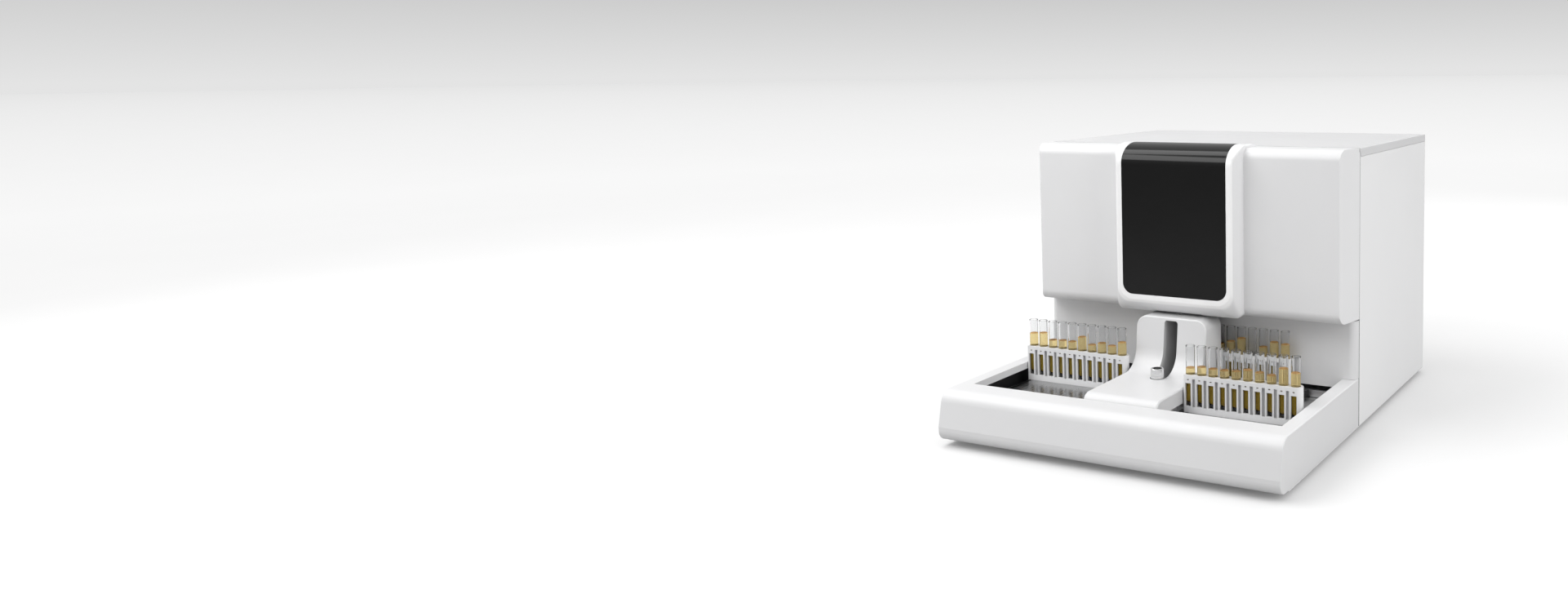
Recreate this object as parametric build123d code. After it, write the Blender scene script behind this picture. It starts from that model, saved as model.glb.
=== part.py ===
from build123d import *
import math
import os

# Bench-top urine sediment analyzer. X is to the right, Y to the back, Z up, all in millimetres.
# The bench is Z = 0. The seam is the vertical joint between the body and the front of the machine.

# Overall size
WIDTH = 596.0
DEPTH = 778.0
TRAY_DEPTH = 358.0
BODY_H = 469.0
FOOT_H = 8.0
FOOT_X = 250.0
FOOT_EDGE = 30.0
FOOT_R = 14.0
WALL = 3.5
SHEET = 2.0
SEAM_GAP = 0.4
SEAM_LINE = 0.8
SEAT_GAP = 0.3
PAST = 1.0
PLANE_TOL = 0.01
REACH = 5.0

# Side panels and top cover
SKIRT_LIFT = 2.0
BASE_INSET = 1.0
SIDE_WALL = 2.5
SIDE_FLANGE = 14.0
TOP_SKIRT = 14.0
TOP_EDGE_R = 1.2

# Rack tray: the front and two rails around the lanes
RIM_H = 83.5
RAIL_W = 24.0
FRONT_RAIL_W = 66.5
RIM_LIP = 12.0
RIM_EDGE_R = 2.0
TRAY_TOP_R = 22.0
TRAY_BOTTOM_R = 18.0
TRAY_RETURN = 5.0
TRAY_LEAN = 12.0
TRAY_LEAN_H = 24.0

# Lanes and cross channel behind the bridge
FLOOR_H = 52.2
CHANNEL_AHEAD = 35.0
CHANNEL_HALF = 13.0
GUIDE_H = 9.0
GUIDE_SHELF = 4.0
GUIDE_T = 1.5
LANE_SLOT = 5.0
LANE_SIDE_GAP = 1.0
PIN_AHEAD = 6.0
PIN_HALF = 1.5
PIN_RISE = 4.0
PIN_INSET = 6.0
YOKE_LOW = 4.0
YOKE_H = 8.0
YOKE_HALF = 8.0
RAIL_BAR = 10.0
RAIL_BAR_H = 6.0
SLED_HALF = 4.0
SLED_H = 8.0
SLED_RAIL_HALF = 2.0
SLED_END = 3.0
PUSHER_END = 218.0
PUSHER_W = 12.0
PUSHER_H = 10.0
PUSHER_BACK = 10.0

# Racks and tubes
PITCH = 20.0
POSITIONS = 10
TUBE_SIDES = 12
TUBE_R = 7.5
TUBE_WALL = 1.0
TUBE_LEN = 100.0
TUBE_TIP_R = 3.0
TUBE_FLOOR = 1.5
TUBE_CONE = 12.0
TUBE_CLEAR = 0.3
RACK_H = 61.5
RACK_D = 20.0
RACK_LEFT = 8.0
RACK_RIGHT = 12.0
RACK_FLOOR = 8.0
RACK_RECESS = 5.0
RACK_SKIN = 1.5
RACK_EDGE_R = 1.0
WINDOW_W = 9.4
WINDOW_LOW = 10.8
WINDOW_HIGH = 48.0
RIB_SLOT_W = 5.3
RIB_SLOT_LOW = 9.6
RIB_SLOT_HIGH = 55.2
RIB_SLOT_DEPTH = 5.5
SPY_W = 3.2
SPY_H = 1.8
SPY_MID = 53.8
FILL_CLEAR = 0.05
LEFT_RACK_X = -263.7
LEFT_RACK_AHEAD = 126.0
RIGHT_RACK_X = 76.0
RIGHT_RACK_AHEAD = 186.7
LEFT_FILLS = (76, 78, 67, 68, 68, 78, 66, 71, 68, 76)
RIGHT_FILLS = (64, 67, 66, 66, 67, 71, 69, 67, 80, 75)
MIDDLE_FILLS = (66, 72, 68, 74, 81, 41, 70, 80, 78)

# Bridge cover over the middle of the tray
BRIDGE_HALF = 66.0
BRIDGE_TOP_H = 181.0
BRIDGE_FOOT_H = 66.0
BRIDGE_BACK_AHEAD = 46.0
BRIDGE_CORNER_R = 19.0
BRIDGE_EDGE = 1.8
BRIDGE_WALL = 3.0
TONGUE_H = 90.5
TONGUE_AHEAD = 288.0
TONGUE_ROLL_R = 18.0
SWEEP_R = 40.0
SWEEP_AHEAD = 150.0
SWEEP_LEAN = 7.0
SLOT_HALF = 12.6
SLOT_TOP_H = 176.0
SLOT_CORNER_R = 5.0
TUNNEL_WALL = 2.4
TUNNEL_BACK_AHEAD = 50.0
DIP_HOLE_R = 5.0
STAND_HALF = 30.0
STAND_W = 14.0

# Holder for a single tube, which slides back through the slot
HOLDER_AHEAD = 157.0
COLLAR_R = 11.15
COLLAR_BORE_R = 8.1
COLLAR_TOP_H = 107.0
COLLAR_LEN = 21.0
COLLAR_EDGE = 0.6
CUP_R = 10.5
CUP_BORE_R = 8.4
CUP_FLOOR = 4.0
HOLDER_RAIL_HALF = 4.0
HOLDER_RAIL_H = 8.0
HOLDER_SLIDE_HALF = 9.0
HOLDER_SLIDE_H = 12.0
HOLDER_RAIL_END = 2.0

# Lower front panel behind the tray
RECESS_AHEAD = 15.6
RECESS_FOOT_H = 68.0
RECESS_END_R = 13.0

# Front cover
COVER_AHEAD = 64.0
COVER_FRONT_HALF = 285.0
COVER_BOTTOM_H = 184.0
COVER_GAP = 2.0
ROLL_R = 18.0
COVER_EDGE_R = 3.0
BEZEL_OUT = 30.0
BEZEL_HALF = 107.0
BEZEL_BASE_HALF = 117.0
BEZEL_BASE_R = 9.0
BEZEL_FLARE = 18.0
BEZEL_SWELL = 0.3
BEZEL_EDGE_R = 3.0
CREST_RISE = 6.0
CREST_AHEAD = 45.0
CREST_DROP = 35.0
WINDOW_HALF = 98.0
WINDOW_FOOT_H = 215.0
WINDOW_CORNER_R = 18.5
WINDOW_T = 2.0
WINDOW_BACK_AHEAD = 9.0
PROBE_NOTCH_HALF = 45.0
PROBE_NOTCH_AHEAD = 79.0

# Cover hinges
HINGE_X = 200.0
HINGE_LEN = 60.0
KNUCKLE_R = 3.0
KNUCKLE_LEN = 15.0
KNUCKLE_SIDES = 16
HINGE_PIN_R = 1.5
HINGE_FIT = 0.05
LEAF_T = 1.5
LEAF_LEN = 22.0
GROOVE_AHEAD = 3.8
GROOVE_BEHIND = 3.4

# Bulkhead and the cover's catches
BULKHEAD_BEHIND = 6.0
BULKHEAD_HALF = 283.0
CATCH_X = 281.0
CATCH_W = 15.0
CATCH_HIGH = 16.0
CATCH_H = 202.0
CATCH_AHEAD = 2.0
CATCH_T = 2.0

# Probe and its drive over the channel
PROBE_R = 1.0
PROBE_CLEAR = 0.3
PROBE_REST_H = 183.0
PROBE_LEN = 138.0
PROBE_STUB = 4.0
PROBE_TRAVEL = 35.0
BEAM_X = 24.0
BEAM_W = 8.0
BEAM_H = 322.0
BEAM_HIGH = 16.0
PAD_EDGE = 12.0
PAD_T = 4.0
CARRIAGE_X = 14.0
CARRIAGE_T = 4.0
CARRIAGE_HALF = 5.0
SHOE_WALL = 4.0
ARM_HALF = 3.0
WASH_R = 5.0
WASH_H = 8.0
WASH_LIFT = 9.0
LIFT_RAIL_T = 4.0
LIFT_RAIL_HALF = 3.0
GRIP_LEFT = 5.0
GRIP_CLEAR = 1.0
GRIP_HALF = 7.0
GRIP_H = 14.0

# Syringe pump
PUMP_X = -190.0
PUMP_H = 217.0
PUMP_HALF = 25.0
PUMP_HIGH = 170.0
PUMP_FACE_AHEAD = 14.0
PUMP_HEAD_HALF = 12.0
PUMP_HEAD_AHEAD = 40.0
PUMP_HEAD_H = 150.0
BARREL_AHEAD = 27.0
BARREL_SIDES = 16
BARREL_R = 7.0
BARREL_BORE_R = 5.6
BARREL_LEN = 64.0
BARREL_END = 2.0
SEAL_DROP = 10.0
SEAL_R = 5.3
SEAL_LEN = 6.0
STEM_R = 2.5
STEM_LEN = 72.0
YOKE_PLATE_HALF = 10.0
YOKE_PLATE_AHEAD = 36.0
YOKE_PLATE_T = 8.0

# Microscope: the distances along its axis are measured from its middle
OPTICS_X = 185.0
OPTICS_H = 232.0
OPTICS_HALF = 75.0
OPTICS_HIGH = 110.0
OPTICS_FACE_AHEAD = 6.0
AXIS_AHEAD = 26.0
AXIS_UP = 55.0
CAMERA_START = 30.0
CAMERA_END = 70.0
CAMERA_HALF = 18.0
LENS_START = 8.0
LENS_R = 13.0
OBJECTIVE_STEP = -6.0
OBJECTIVE_TIP = -14.0
OBJECTIVE_R = 10.0
OBJECTIVE_TIP_R = 6.0
CELL_START = -18.0
CELL_T = 3.0
CELL_AHEAD = 36.0
CELL_HALF = 24.0
LAMP_END = -60.0
LAMP_STEP = -32.0
LAMP_TIP = -20.0
LAMP_R = 14.0
LAMP_TIP_R = 7.0
LAMP_FOOT_EDGE = 2.0
LAMP_FOOT_HALF = 6.0

# Rear panel
VENT_X = -80.0
VENT_SPACING = 80.0
VENT_W = 60.0
VENT_T = 4.0
VENT_H = 212.0
VENT_PITCH = 9.0
VENT_ROWS = 12
SCREW_X = 285.0
SCREW_EDGE = 12.0
SCREW_HEAD_R = 4.5
SCREW_SIDES = 6
SCREW_HEAD_T = 2.0
BULKHEAD_SCREW_DROP = 30.0
BULKHEAD_SCREW_IN = 80.0
BULKHEAD_SCREW_OUT = 260.0

# Fan
FAN_X = 150.0
FAN_H = 322.0
FAN_SIZE = 80.0
FAN_DEPTH = 25.0
FAN_SIDES = 24
FAN_BORE_R = 37.0
FAN_ARM_T = 3.0
FAN_ARM_HALF = 2.0
FAN_SHAFT_R = 2.0
FAN_SHAFT_END = 6.0
FAN_HUB_R = 16.0
FAN_HUB_END = 3.0
FAN_BLADES = 7
FAN_BLADE_T = 1.6
FAN_BLADE_W = 15.0
FAN_BLADE_TILT = 55.0
FAN_TIP_GAP = 1.5
GUARD_BARS = 9
GUARD_PITCH = 8.0
GUARD_BAR_W = 2.4
GUARD_POST_W = 4.0

# Hose ports
PORTS = 3
PORT_X = -200.0
PORT_PITCH = 35.0
PORT_H = 52.0
PORT_SIDES = 12
PORT_R = 4.0
PORT_BORE_R = 2.5
PORT_LEN = 16.0
PORT_FLANGE_R = 7.0
PORT_FLANGE_T = 2.0
PORT_SHANK_R = 3.6
PORT_SHANK_LEN = 12.0
PORT_NUT_R = 9.0
PORT_NUT_T = 5.0

# Power inlet and switch
PANEL_FIT = 0.3
INLET_X = 215.0
INLET_H = 62.0
INLET_HALF = 13.7
INLET_HALF_H = 9.7
INLET_DEPTH = 24.0
INLET_WALL = 1.7
INLET_ROOM = 16.0
BLADE_HALF = 1.0
BLADE_HALF_H = 2.0
BLADE_X = 7.0
BLADE_UP = 2.0
BLADE_BACK = 2.0
SWITCH_UP = 27.0
SWITCH_HALF = 10.2
SWITCH_HALF_H = 7.2
SWITCH_DEPTH = 16.0
SWITCH_WALL = 1.7
SWITCH_ROOM = 12.0
ROCKER_AXIS_IN = 3.0
ROCKER_AXLE_R = 1.0
ROCKER_AXLE_GAP = 0.1
ROCKER_FIT = 0.3
ROCKER_HALF_H = 4.8
ROCKER_DEPTH = 5.0
ROCKER_TIP = 0.4
ROCKER_DISH = 0.6

# Values that follow from the sizes above
SEAM_Y = -(DEPTH + PORT_LEN) / 2 + TRAY_DEPTH
BACK_Y = (DEPTH - PORT_LEN) / 2
SIDE_X = WIDTH / 2
TOP_Z = FOOT_H + BODY_H
CREST_Z = TOP_Z + CREST_RISE
RIM_Z = FOOT_H + RIM_H
FLOOR_Z = FOOT_H + FLOOR_H
BASE_TOP_Z = FOOT_H + SHEET
LANE_OUT = SIDE_X - RAIL_W
OPENING_AHEAD = TRAY_DEPTH - FRONT_RAIL_W
COVER_BOTTOM_Z = FOOT_H + COVER_BOTTOM_H
SKIRT_Z = FOOT_H + SKIRT_LIFT
FRONT_BACK_Y = SEAM_Y - SEAM_LINE
SIDE_TOP_Z = TOP_Z - TOP_SKIRT - SEAM_GAP
HINGE_Z = TOP_Z - WALL
PANEL_Y = BACK_Y - SEAM_GAP
BULKHEAD_Y = SEAM_Y + BULKHEAD_BEHIND
PROBE_Y = SEAM_Y - CHANNEL_AHEAD
WASH_Z = FOOT_H + PROBE_REST_H + WASH_LIFT
OPTICS_Y = SEAM_Y - AXIS_AHEAD
OPTICS_Z = FOOT_H + OPTICS_H + AXIS_UP
RACK_LEN = RACK_LEFT + (POSITIONS - 1) * PITCH + RACK_RIGHT
YOKE_Z = BASE_TOP_Z + YOKE_LOW


def ahead(distance):
    """The Y of a plane this far in front of the seam."""
    return SEAM_Y - distance


def block(x0, x1, y0, y1, z0, z1):
    """A box between two corners."""
    size = Box(abs(x1 - x0), abs(y1 - y0), abs(z1 - z0))
    return Pos((x0 + x1) / 2, (y0 + y1) / 2, (z0 + z1) / 2) * size


def rod(radius, start, end):
    """A round bar between two points."""
    start = Vector(*start)
    run = Vector(*end) - start
    return extrude(Plane(start, z_dir=run) * Circle(radius), run.length)


def bar(radius, sides, start, end):
    """A straight bar with flat sides between two points."""
    start = Vector(*start)
    run = Vector(*end) - start
    return extrude(Plane(start, z_dir=run) * RegularPolygon(radius, sides), run.length)


def ring(x, y, radius, z):
    """The corners of a level polygon that stands for a circle."""
    turns = [2 * math.pi * i / TUBE_SIDES for i in range(TUBE_SIDES)]
    return [(x + radius * math.cos(turn), y + radius * math.sin(turn), z) for turn in turns]


def outline(corners):
    """A flat face through (x, y, corner radius) points."""
    face = make_face(Polyline(*[(x, y) for x, y, _ in corners], close=True))
    for x, y, radius in corners:
        if radius > 0:
            face = fillet(face.vertices().sort_by_distance((x, y))[0], radius)
    return face


def across(face, x0, x1):
    """A side profile in Y and Z, carried from x0 to x1."""
    return extrude(Plane.YZ.offset(x0) * face, x1 - x0, dir=(1, 0, 0))


def backward(face, y0, y1):
    """A front profile in X and Z, carried from y0 back to y1."""
    return extrude(Plane.XZ.offset(-y0) * face, y1 - y0, dir=(0, 1, 0))


def upward(face, z0, z1):
    """A plan in X and Y, carried from z0 up to z1."""
    return extrude(Pos(0, 0, z0) * face, z1 - z0, dir=(0, 0, 1))


def mirrored(shape):
    """The same piece on the other side of the machine."""
    return mirror(shape, Plane.YZ)


def save(name, *solids):
    """Writes one node, as one solid or as a group of separate solids."""
    found = [solid for shape in solids for solid in shape.solids()]
    whole = found[0] if len(found) == 1 else Compound(children=found)
    export_step(whole, f"parts/{name}.step")


# Housing

def base_plate():
    """The folded steel base that the side panels, the tray and all floors stand on."""
    front = ahead(OPENING_AHEAD + FRONT_RAIL_W / 2)
    half = SIDE_X - BASE_INSET
    return block(-half, half, front, PANEL_Y - SHEET - SEAM_GAP, FOOT_H, BASE_TOP_Z)


def feet():
    ys = (ahead(OPENING_AHEAD), BACK_Y - FOOT_EDGE)
    spots = [(x, y) for x in (-FOOT_X, FOOT_X) for y in ys]
    return [bar(FOOT_R, BARREL_SIDES, (x, y, 0), (x, y, FOOT_H)) for x, y in spots]


def right_side_panel():
    low = SKIRT_Z
    back = PANEL_Y
    outer = block(SIDE_X - SIDE_FLANGE, SIDE_X, SEAM_Y, back, low, SIDE_TOP_Z)
    inner = block(SIDE_X - SIDE_FLANGE, SIDE_X - SIDE_WALL, SEAM_Y + SIDE_WALL,
                  back - SHEET - SIDE_WALL, low + SIDE_WALL, SIDE_TOP_Z - SIDE_WALL)
    step = block(SIDE_X - SIDE_FLANGE, SIDE_X - SIDE_WALL, back - SHEET, back, low, SIDE_TOP_Z)
    return outer - inner - step


def top_cover():
    front = SEAM_Y + GROOVE_BEHIND
    outer = block(-SIDE_X, SIDE_X, front, BACK_Y, TOP_Z - TOP_SKIRT, TOP_Z)
    edges = outer.edges().filter_by(Axis.Y).sort_by(Axis.Z)[-2:]
    outer = fillet(edges, TOP_EDGE_R)
    inner = block(-SIDE_X + WALL, SIDE_X - WALL, front, BACK_Y - WALL, TOP_Z - TOP_SKIRT, TOP_Z - WALL)
    return outer - inner


def rack_tray():
    """The tray: an open rim round the lanes, rolled over at the front, hollow from below."""
    low = SKIRT_Z
    foot = ahead(TRAY_DEPTH)
    brow = ahead(TRAY_DEPTH - TRAY_LEAN)
    inner_foot = foot + TRAY_BOTTOM_R + TRAY_RETURN
    outer = across(outline([
        (FRONT_BACK_Y, low, 0),
        (foot, low, TRAY_BOTTOM_R),
        (foot, low + TRAY_LEAN_H, 0),
        (brow, RIM_Z, TRAY_TOP_R),
        (FRONT_BACK_Y, RIM_Z, 0),
    ]), -SIDE_X, SIDE_X)
    ends = outer.faces().filter_by(Axis.X).sort_by(Axis.X)
    outer = fillet(ends[0].edges() + ends[-1].edges(), RIM_EDGE_R)
    hollow = across(outline([
        (FRONT_BACK_Y, low - PAST, 0),
        (inner_foot, low - PAST, 0),
        (inner_foot, low + WALL, 0),
        (foot + WALL, low + WALL, TRAY_BOTTOM_R - WALL),
        (foot + WALL, low + TRAY_LEAN_H, 0),
        (brow + WALL, RIM_Z - WALL, TRAY_TOP_R - WALL),
        (FRONT_BACK_Y, RIM_Z - WALL, 0),
    ]), -SIDE_X + WALL, SIDE_X - WALL)
    lip = block(-LANE_OUT - WALL, LANE_OUT + WALL, ahead(OPENING_AHEAD + WALL), FRONT_BACK_Y,
                RIM_Z - RIM_LIP, RIM_Z - WALL)
    opening = block(-LANE_OUT, LANE_OUT, ahead(OPENING_AHEAD), SEAM_Y, low - PAST, RIM_Z + PAST)
    return outer - (hollow - lip) - opening


def lower_front_panel():
    front = ahead(RECESS_AHEAD)
    half = SIDE_X - SEAM_GAP
    top = COVER_BOTTOM_Z - COVER_GAP

    def plan(inset):
        return outline([
            (-half + inset, SEAM_Y - SEAM_GAP, 0),
            (-half + inset, front + inset, RECESS_END_R - inset),
            (half - inset, front + inset, RECESS_END_R - inset),
            (half - inset, SEAM_Y - SEAM_GAP, 0),
        ])

    low = FOOT_H + RECESS_FOOT_H
    panel = upward(plan(0), low, top) - upward(plan(WALL), low, top - WALL)
    over_rail = block(LANE_OUT - SEAM_GAP, SIDE_X, front - PAST, SEAM_Y, low, RIM_Z + SEAM_GAP)
    return panel - over_rail - mirrored(over_rail)


# Front cover

def cover_panels(inset):
    """The flat part of the cover, with its rolled front edges."""
    rear = FRONT_BACK_Y
    front = ahead(COVER_AHEAD) + inset
    rear_half = SIDE_X - inset
    front_half = COVER_FRONT_HALF - inset
    rear_half += (rear_half - front_half) / (rear - front) * REACH
    edge_r = 0 if inset else COVER_EDGE_R
    plan = outline([
        (-rear_half, rear + REACH, 0),
        (-front_half, front, edge_r),
        (front_half, front, edge_r),
        (rear_half, rear + REACH, 0),
    ])
    low = COVER_BOTTOM_Z + inset
    high = TOP_Z - inset
    side = outline([
        (rear, low, 0),
        (front, low, ROLL_R - inset),
        (front, high, ROLL_R - inset),
        (rear, high, 0),
    ])
    return upward(plan, low - PAST, high + PAST) & across(side, -SIDE_X - REACH, SIDE_X + REACH)


def bezel_side(inset, half):
    """The raised centre seen from the side: a straight face and a wide roll over the top."""
    low = COVER_BOTTOM_Z + inset
    front = ahead(COVER_AHEAD + BEZEL_OUT) + inset
    crest_y = ahead(CREST_AHEAD)
    crest_z = CREST_Z - inset
    shoulder_z = CREST_Z - CREST_DROP
    roll = EllipticalCenterArc((crest_y, shoulder_z), crest_y - front, crest_z - shoulder_z, 90, arc_size=90)
    fall = TangentArc((crest_y, crest_z), (FRONT_BACK_Y, TOP_Z - inset), tangent=(1, 0))
    face = make_face([
        Line((FRONT_BACK_Y, low), (front, low)),
        Line((front, low), (front, shoulder_z)),
        roll,
        fall,
        Line((FRONT_BACK_Y, TOP_Z - inset), (FRONT_BACK_Y, low)),
    ])
    return across(face, -half, half)


def bezel_section(inset, share, top_r=0):
    """The raised centre seen from the front: its foot at share 0, its flat face at share 1."""
    border = BEZEL_HALF - WINDOW_HALF
    half = BEZEL_BASE_HALF + share * (BEZEL_HALF - BEZEL_BASE_HALF) - inset
    low = FOOT_H + COVER_BOTTOM_H + share * (WINDOW_FOOT_H - border - COVER_BOTTOM_H) + inset
    corner = BEZEL_BASE_R + share * (WINDOW_CORNER_R + border - BEZEL_BASE_R) - inset
    high = CREST_Z + PAST - inset
    return outline([(-half, low, corner), (half, low, corner), (half, high, top_r), (-half, high, top_r)])


def cover_bezel(inset):
    """The raised centre of the cover, which swells out of the flat panels to a flat face."""
    front = ahead(COVER_AHEAD + BEZEL_OUT) + inset
    start = front + BEZEL_FLARE
    foot = backward(bezel_section(inset, 0, CREST_RISE), start, FRONT_BACK_Y)
    swell = loft([
        Plane.XZ.offset(-start) * bezel_section(inset, 0),
        Plane.XZ.offset(-(start + front) / 2) * bezel_section(inset, BEZEL_SWELL),
        Plane.XZ.offset(-front) * bezel_section(inset, 1),
    ], ruled=inset > 0)
    form = (foot + swell) & bezel_side(inset, BEZEL_BASE_HALF + REACH)
    if inset:
        return form
    face_edges = [edge for edge in form.edges()
                  if all(abs(corner.Y - front) < PLANE_TOL for corner in edge.vertices())
                  and edge.center().Z < CREST_Z - CREST_DROP - PLANE_TOL]
    return fillet(face_edges, BEZEL_EDGE_R)


def window_block(depth, margin):
    """The window's place: a skin of the bezel that is `depth` thick, `margin` larger all round."""
    low = FOOT_H + WINDOW_FOOT_H - margin
    half = WINDOW_HALF + margin
    high = CREST_Z
    sight = outline([
        (-half, low, WINDOW_CORNER_R + margin),
        (half, low, WINDOW_CORNER_R + margin),
        (half, high + PAST, 0),
        (-half, high + PAST, 0),
    ])
    front = ahead(COVER_AHEAD + BEZEL_OUT)
    skin = bezel_side(0, half) - bezel_side(depth, half)
    return skin & backward(sight, front - PAST, ahead(WINDOW_BACK_AHEAD) + margin)


def front_cover():
    outer = cover_panels(0) + cover_bezel(0)
    inner = cover_panels(WALL) + cover_bezel(WALL)
    shell = outer - inner - window_block(WINDOW_T + SEAM_GAP / 2, SEAT_GAP)
    groove = block(-SIDE_X, SIDE_X, ahead(GROOVE_AHEAD), SEAM_Y, TOP_Z - 2 * WALL, TOP_Z + WALL)
    notch = block(-PROBE_NOTCH_HALF, PROBE_NOTCH_HALF, ahead(PROBE_NOTCH_AHEAD), SEAM_Y,
                  COVER_BOTTOM_Z - PAST, COVER_BOTTOM_Z + WALL + PAST)
    return shell - groove - notch


def front_window():
    return window_block(WINDOW_T, 0)


# Cover hinges

def hinge_bore(x0, x1):
    """Room for the hinge pin."""
    radius = (HINGE_PIN_R + HINGE_FIT) / math.cos(math.pi / KNUCKLE_SIDES)
    return bar(radius, KNUCKLE_SIDES, (x0, SEAM_Y, HINGE_Z), (x1, SEAM_Y, HINGE_Z))


def knuckle(x0, x1):
    """One rolled barrel of a hinge, on the cover's axis."""
    barrel = bar(KNUCKLE_R, KNUCKLE_SIDES, (x0, SEAM_Y, HINGE_Z), (x1, SEAM_Y, HINGE_Z))
    return barrel - hinge_bore(x0, x1)


def hinge_fixed_leaf(x):
    start = x - HINGE_LEN / 2
    end = x + HINGE_LEN / 2
    leaf = block(start, end, SEAM_Y, SEAM_Y + LEAF_LEN, HINGE_Z - LEAF_T, HINGE_Z)
    room = block(start + KNUCKLE_LEN - SEAT_GAP, end - KNUCKLE_LEN + SEAT_GAP,
                 SEAM_Y - KNUCKLE_R, SEAM_Y + KNUCKLE_R + PAST, HINGE_Z - KNUCKLE_R, HINGE_Z + KNUCKLE_R)
    barrels = knuckle(start, start + KNUCKLE_LEN) + knuckle(end - KNUCKLE_LEN, end)
    return leaf - room - hinge_bore(start, end) + barrels


def hinge_moving_leaf(x):
    start = x - HINGE_LEN / 2 + KNUCKLE_LEN
    end = x + HINGE_LEN / 2 - KNUCKLE_LEN
    leaf = block(start, end, ahead(LEAF_LEN), SEAM_Y, HINGE_Z - LEAF_T, HINGE_Z)
    return leaf - hinge_bore(start, end) + knuckle(start, end)


def hinge_pin(x):
    half = HINGE_LEN / 2
    return rod(HINGE_PIN_R, (x - half, SEAM_Y, HINGE_Z), (x + half, SEAM_Y, HINGE_Z))


# Lanes

def lane_floor(first_tube_x):
    """A folded sheet under one lane: flat on top, with a slot near each end of the rack."""
    inner = BRIDGE_HALF + LANE_SIDE_GAP
    outer = LANE_OUT - LANE_SIDE_GAP
    x0, x1 = (-outer, -inner) if first_tube_x < 0 else (inner, outer)
    front = ahead(OPENING_AHEAD - SEAM_GAP)
    back = ahead(CHANNEL_AHEAD + CHANNEL_HALF)
    top = block(x0, x1, front, back, FLOOR_Z - SHEET, FLOOR_Z)
    sides = [block(x, x + SHEET, front, back, BASE_TOP_Z, FLOOR_Z) for x in (x0, x1 - SHEET)]
    slots = [block(x - LANE_SLOT / 2, x + LANE_SLOT / 2, front + 2 * SHEET, back, FLOOR_Z - SHEET, FLOOR_Z)
             for x in pin_places(first_tube_x)]
    return top + sides - slots


def pin_places(first_tube_x):
    """Where a shuttle's two pins reach up into the hollow foot of its rack."""
    left = first_tube_x - RACK_LEFT + PIN_INSET
    right = first_tube_x + (POSITIONS - 1) * PITCH
    return left, right


def shuttle(first_tube_x, rack_ahead):
    """A low bar across the lane with two pins that take the rack along."""
    left, right = pin_places(first_tube_x)
    half = (LANE_SLOT - 2 * SEAM_GAP) / 2
    middle = (left + right) / 2
    centre = ahead(rack_ahead)
    bar = block(left - half, right + half, centre - YOKE_HALF, centre + YOKE_HALF, YOKE_Z, YOKE_Z + YOKE_H)
    groove = block(middle - RAIL_BAR / 2 - SEAT_GAP, middle + RAIL_BAR / 2 + SEAT_GAP,
                   centre - YOKE_HALF, centre + YOKE_HALF, YOKE_Z, BASE_TOP_Z + RAIL_BAR_H + SEAT_GAP)
    pin_y = ahead(rack_ahead + PIN_AHEAD)
    pins = [block(x - half, x + half, pin_y - PIN_HALF, pin_y + PIN_HALF, YOKE_Z, FLOOR_Z + PIN_RISE)
            for x in (left, right)]
    return bar - groove + pins


def shuttle_rail(first_tube_x):
    left, right = pin_places(first_tube_x)
    middle = (left + right) / 2
    return block(middle - RAIL_BAR / 2, middle + RAIL_BAR / 2, ahead(OPENING_AHEAD - SEAM_GAP),
                 ahead(CHANNEL_AHEAD - CHANNEL_HALF), BASE_TOP_Z, BASE_TOP_Z + RAIL_BAR_H)


def channel_floor():
    front = ahead(CHANNEL_AHEAD + CHANNEL_HALF)
    back = ahead(CHANNEL_AHEAD - CHANNEL_HALF)
    half = LANE_OUT - LANE_SIDE_GAP
    top = block(-half, half, front, back, FLOOR_Z - SHEET, FLOOR_Z)
    rear = block(-half, half, back - SHEET, back, BASE_TOP_Z, FLOOR_Z)
    ends = [block(x, x + SHEET, front, back, BASE_TOP_Z, FLOOR_Z) for x in (-half, half - SHEET)]
    slit = block(-half + SHEET, half - SHEET, ahead(CHANNEL_AHEAD) - LANE_SLOT / 2,
                 ahead(CHANNEL_AHEAD) + LANE_SLOT / 2, FLOOR_Z - SHEET, FLOOR_Z)
    reach = ahead(CHANNEL_AHEAD + PIN_AHEAD - PIN_HALF - SEAM_GAP)
    notches = [block(x - LANE_SLOT / 2, x + LANE_SLOT / 2, front, reach, FLOOR_Z - SHEET, FLOOR_Z)
               for start in (LEFT_RACK_X, RIGHT_RACK_X) for x in pin_places(start)]
    passage = [block(x - RAIL_BAR / 2 - SEAT_GAP, x + RAIL_BAR / 2 + SEAT_GAP, back - SHEET, back,
                     BASE_TOP_Z, BASE_TOP_Z + RAIL_BAR_H + SEAT_GAP)
               for x in (sum(pin_places(LEFT_RACK_X)) / 2, sum(pin_places(RIGHT_RACK_X)) / 2)]
    return top + rear + ends - slit - notches - passage


def channel_guide():
    """The low metal rail that racks slide along at the back of the channel."""
    back = ahead(CHANNEL_AHEAD - CHANNEL_HALF)
    half = LANE_OUT - LANE_SIDE_GAP
    high = FLOOR_Z + GUIDE_H
    upright = block(-half, half, back - SHEET, back, FLOOR_Z, high)
    shelf = block(-half, half, back - SHEET, back + GUIDE_SHELF, high - GUIDE_T, high)
    return upright + shelf


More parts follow.
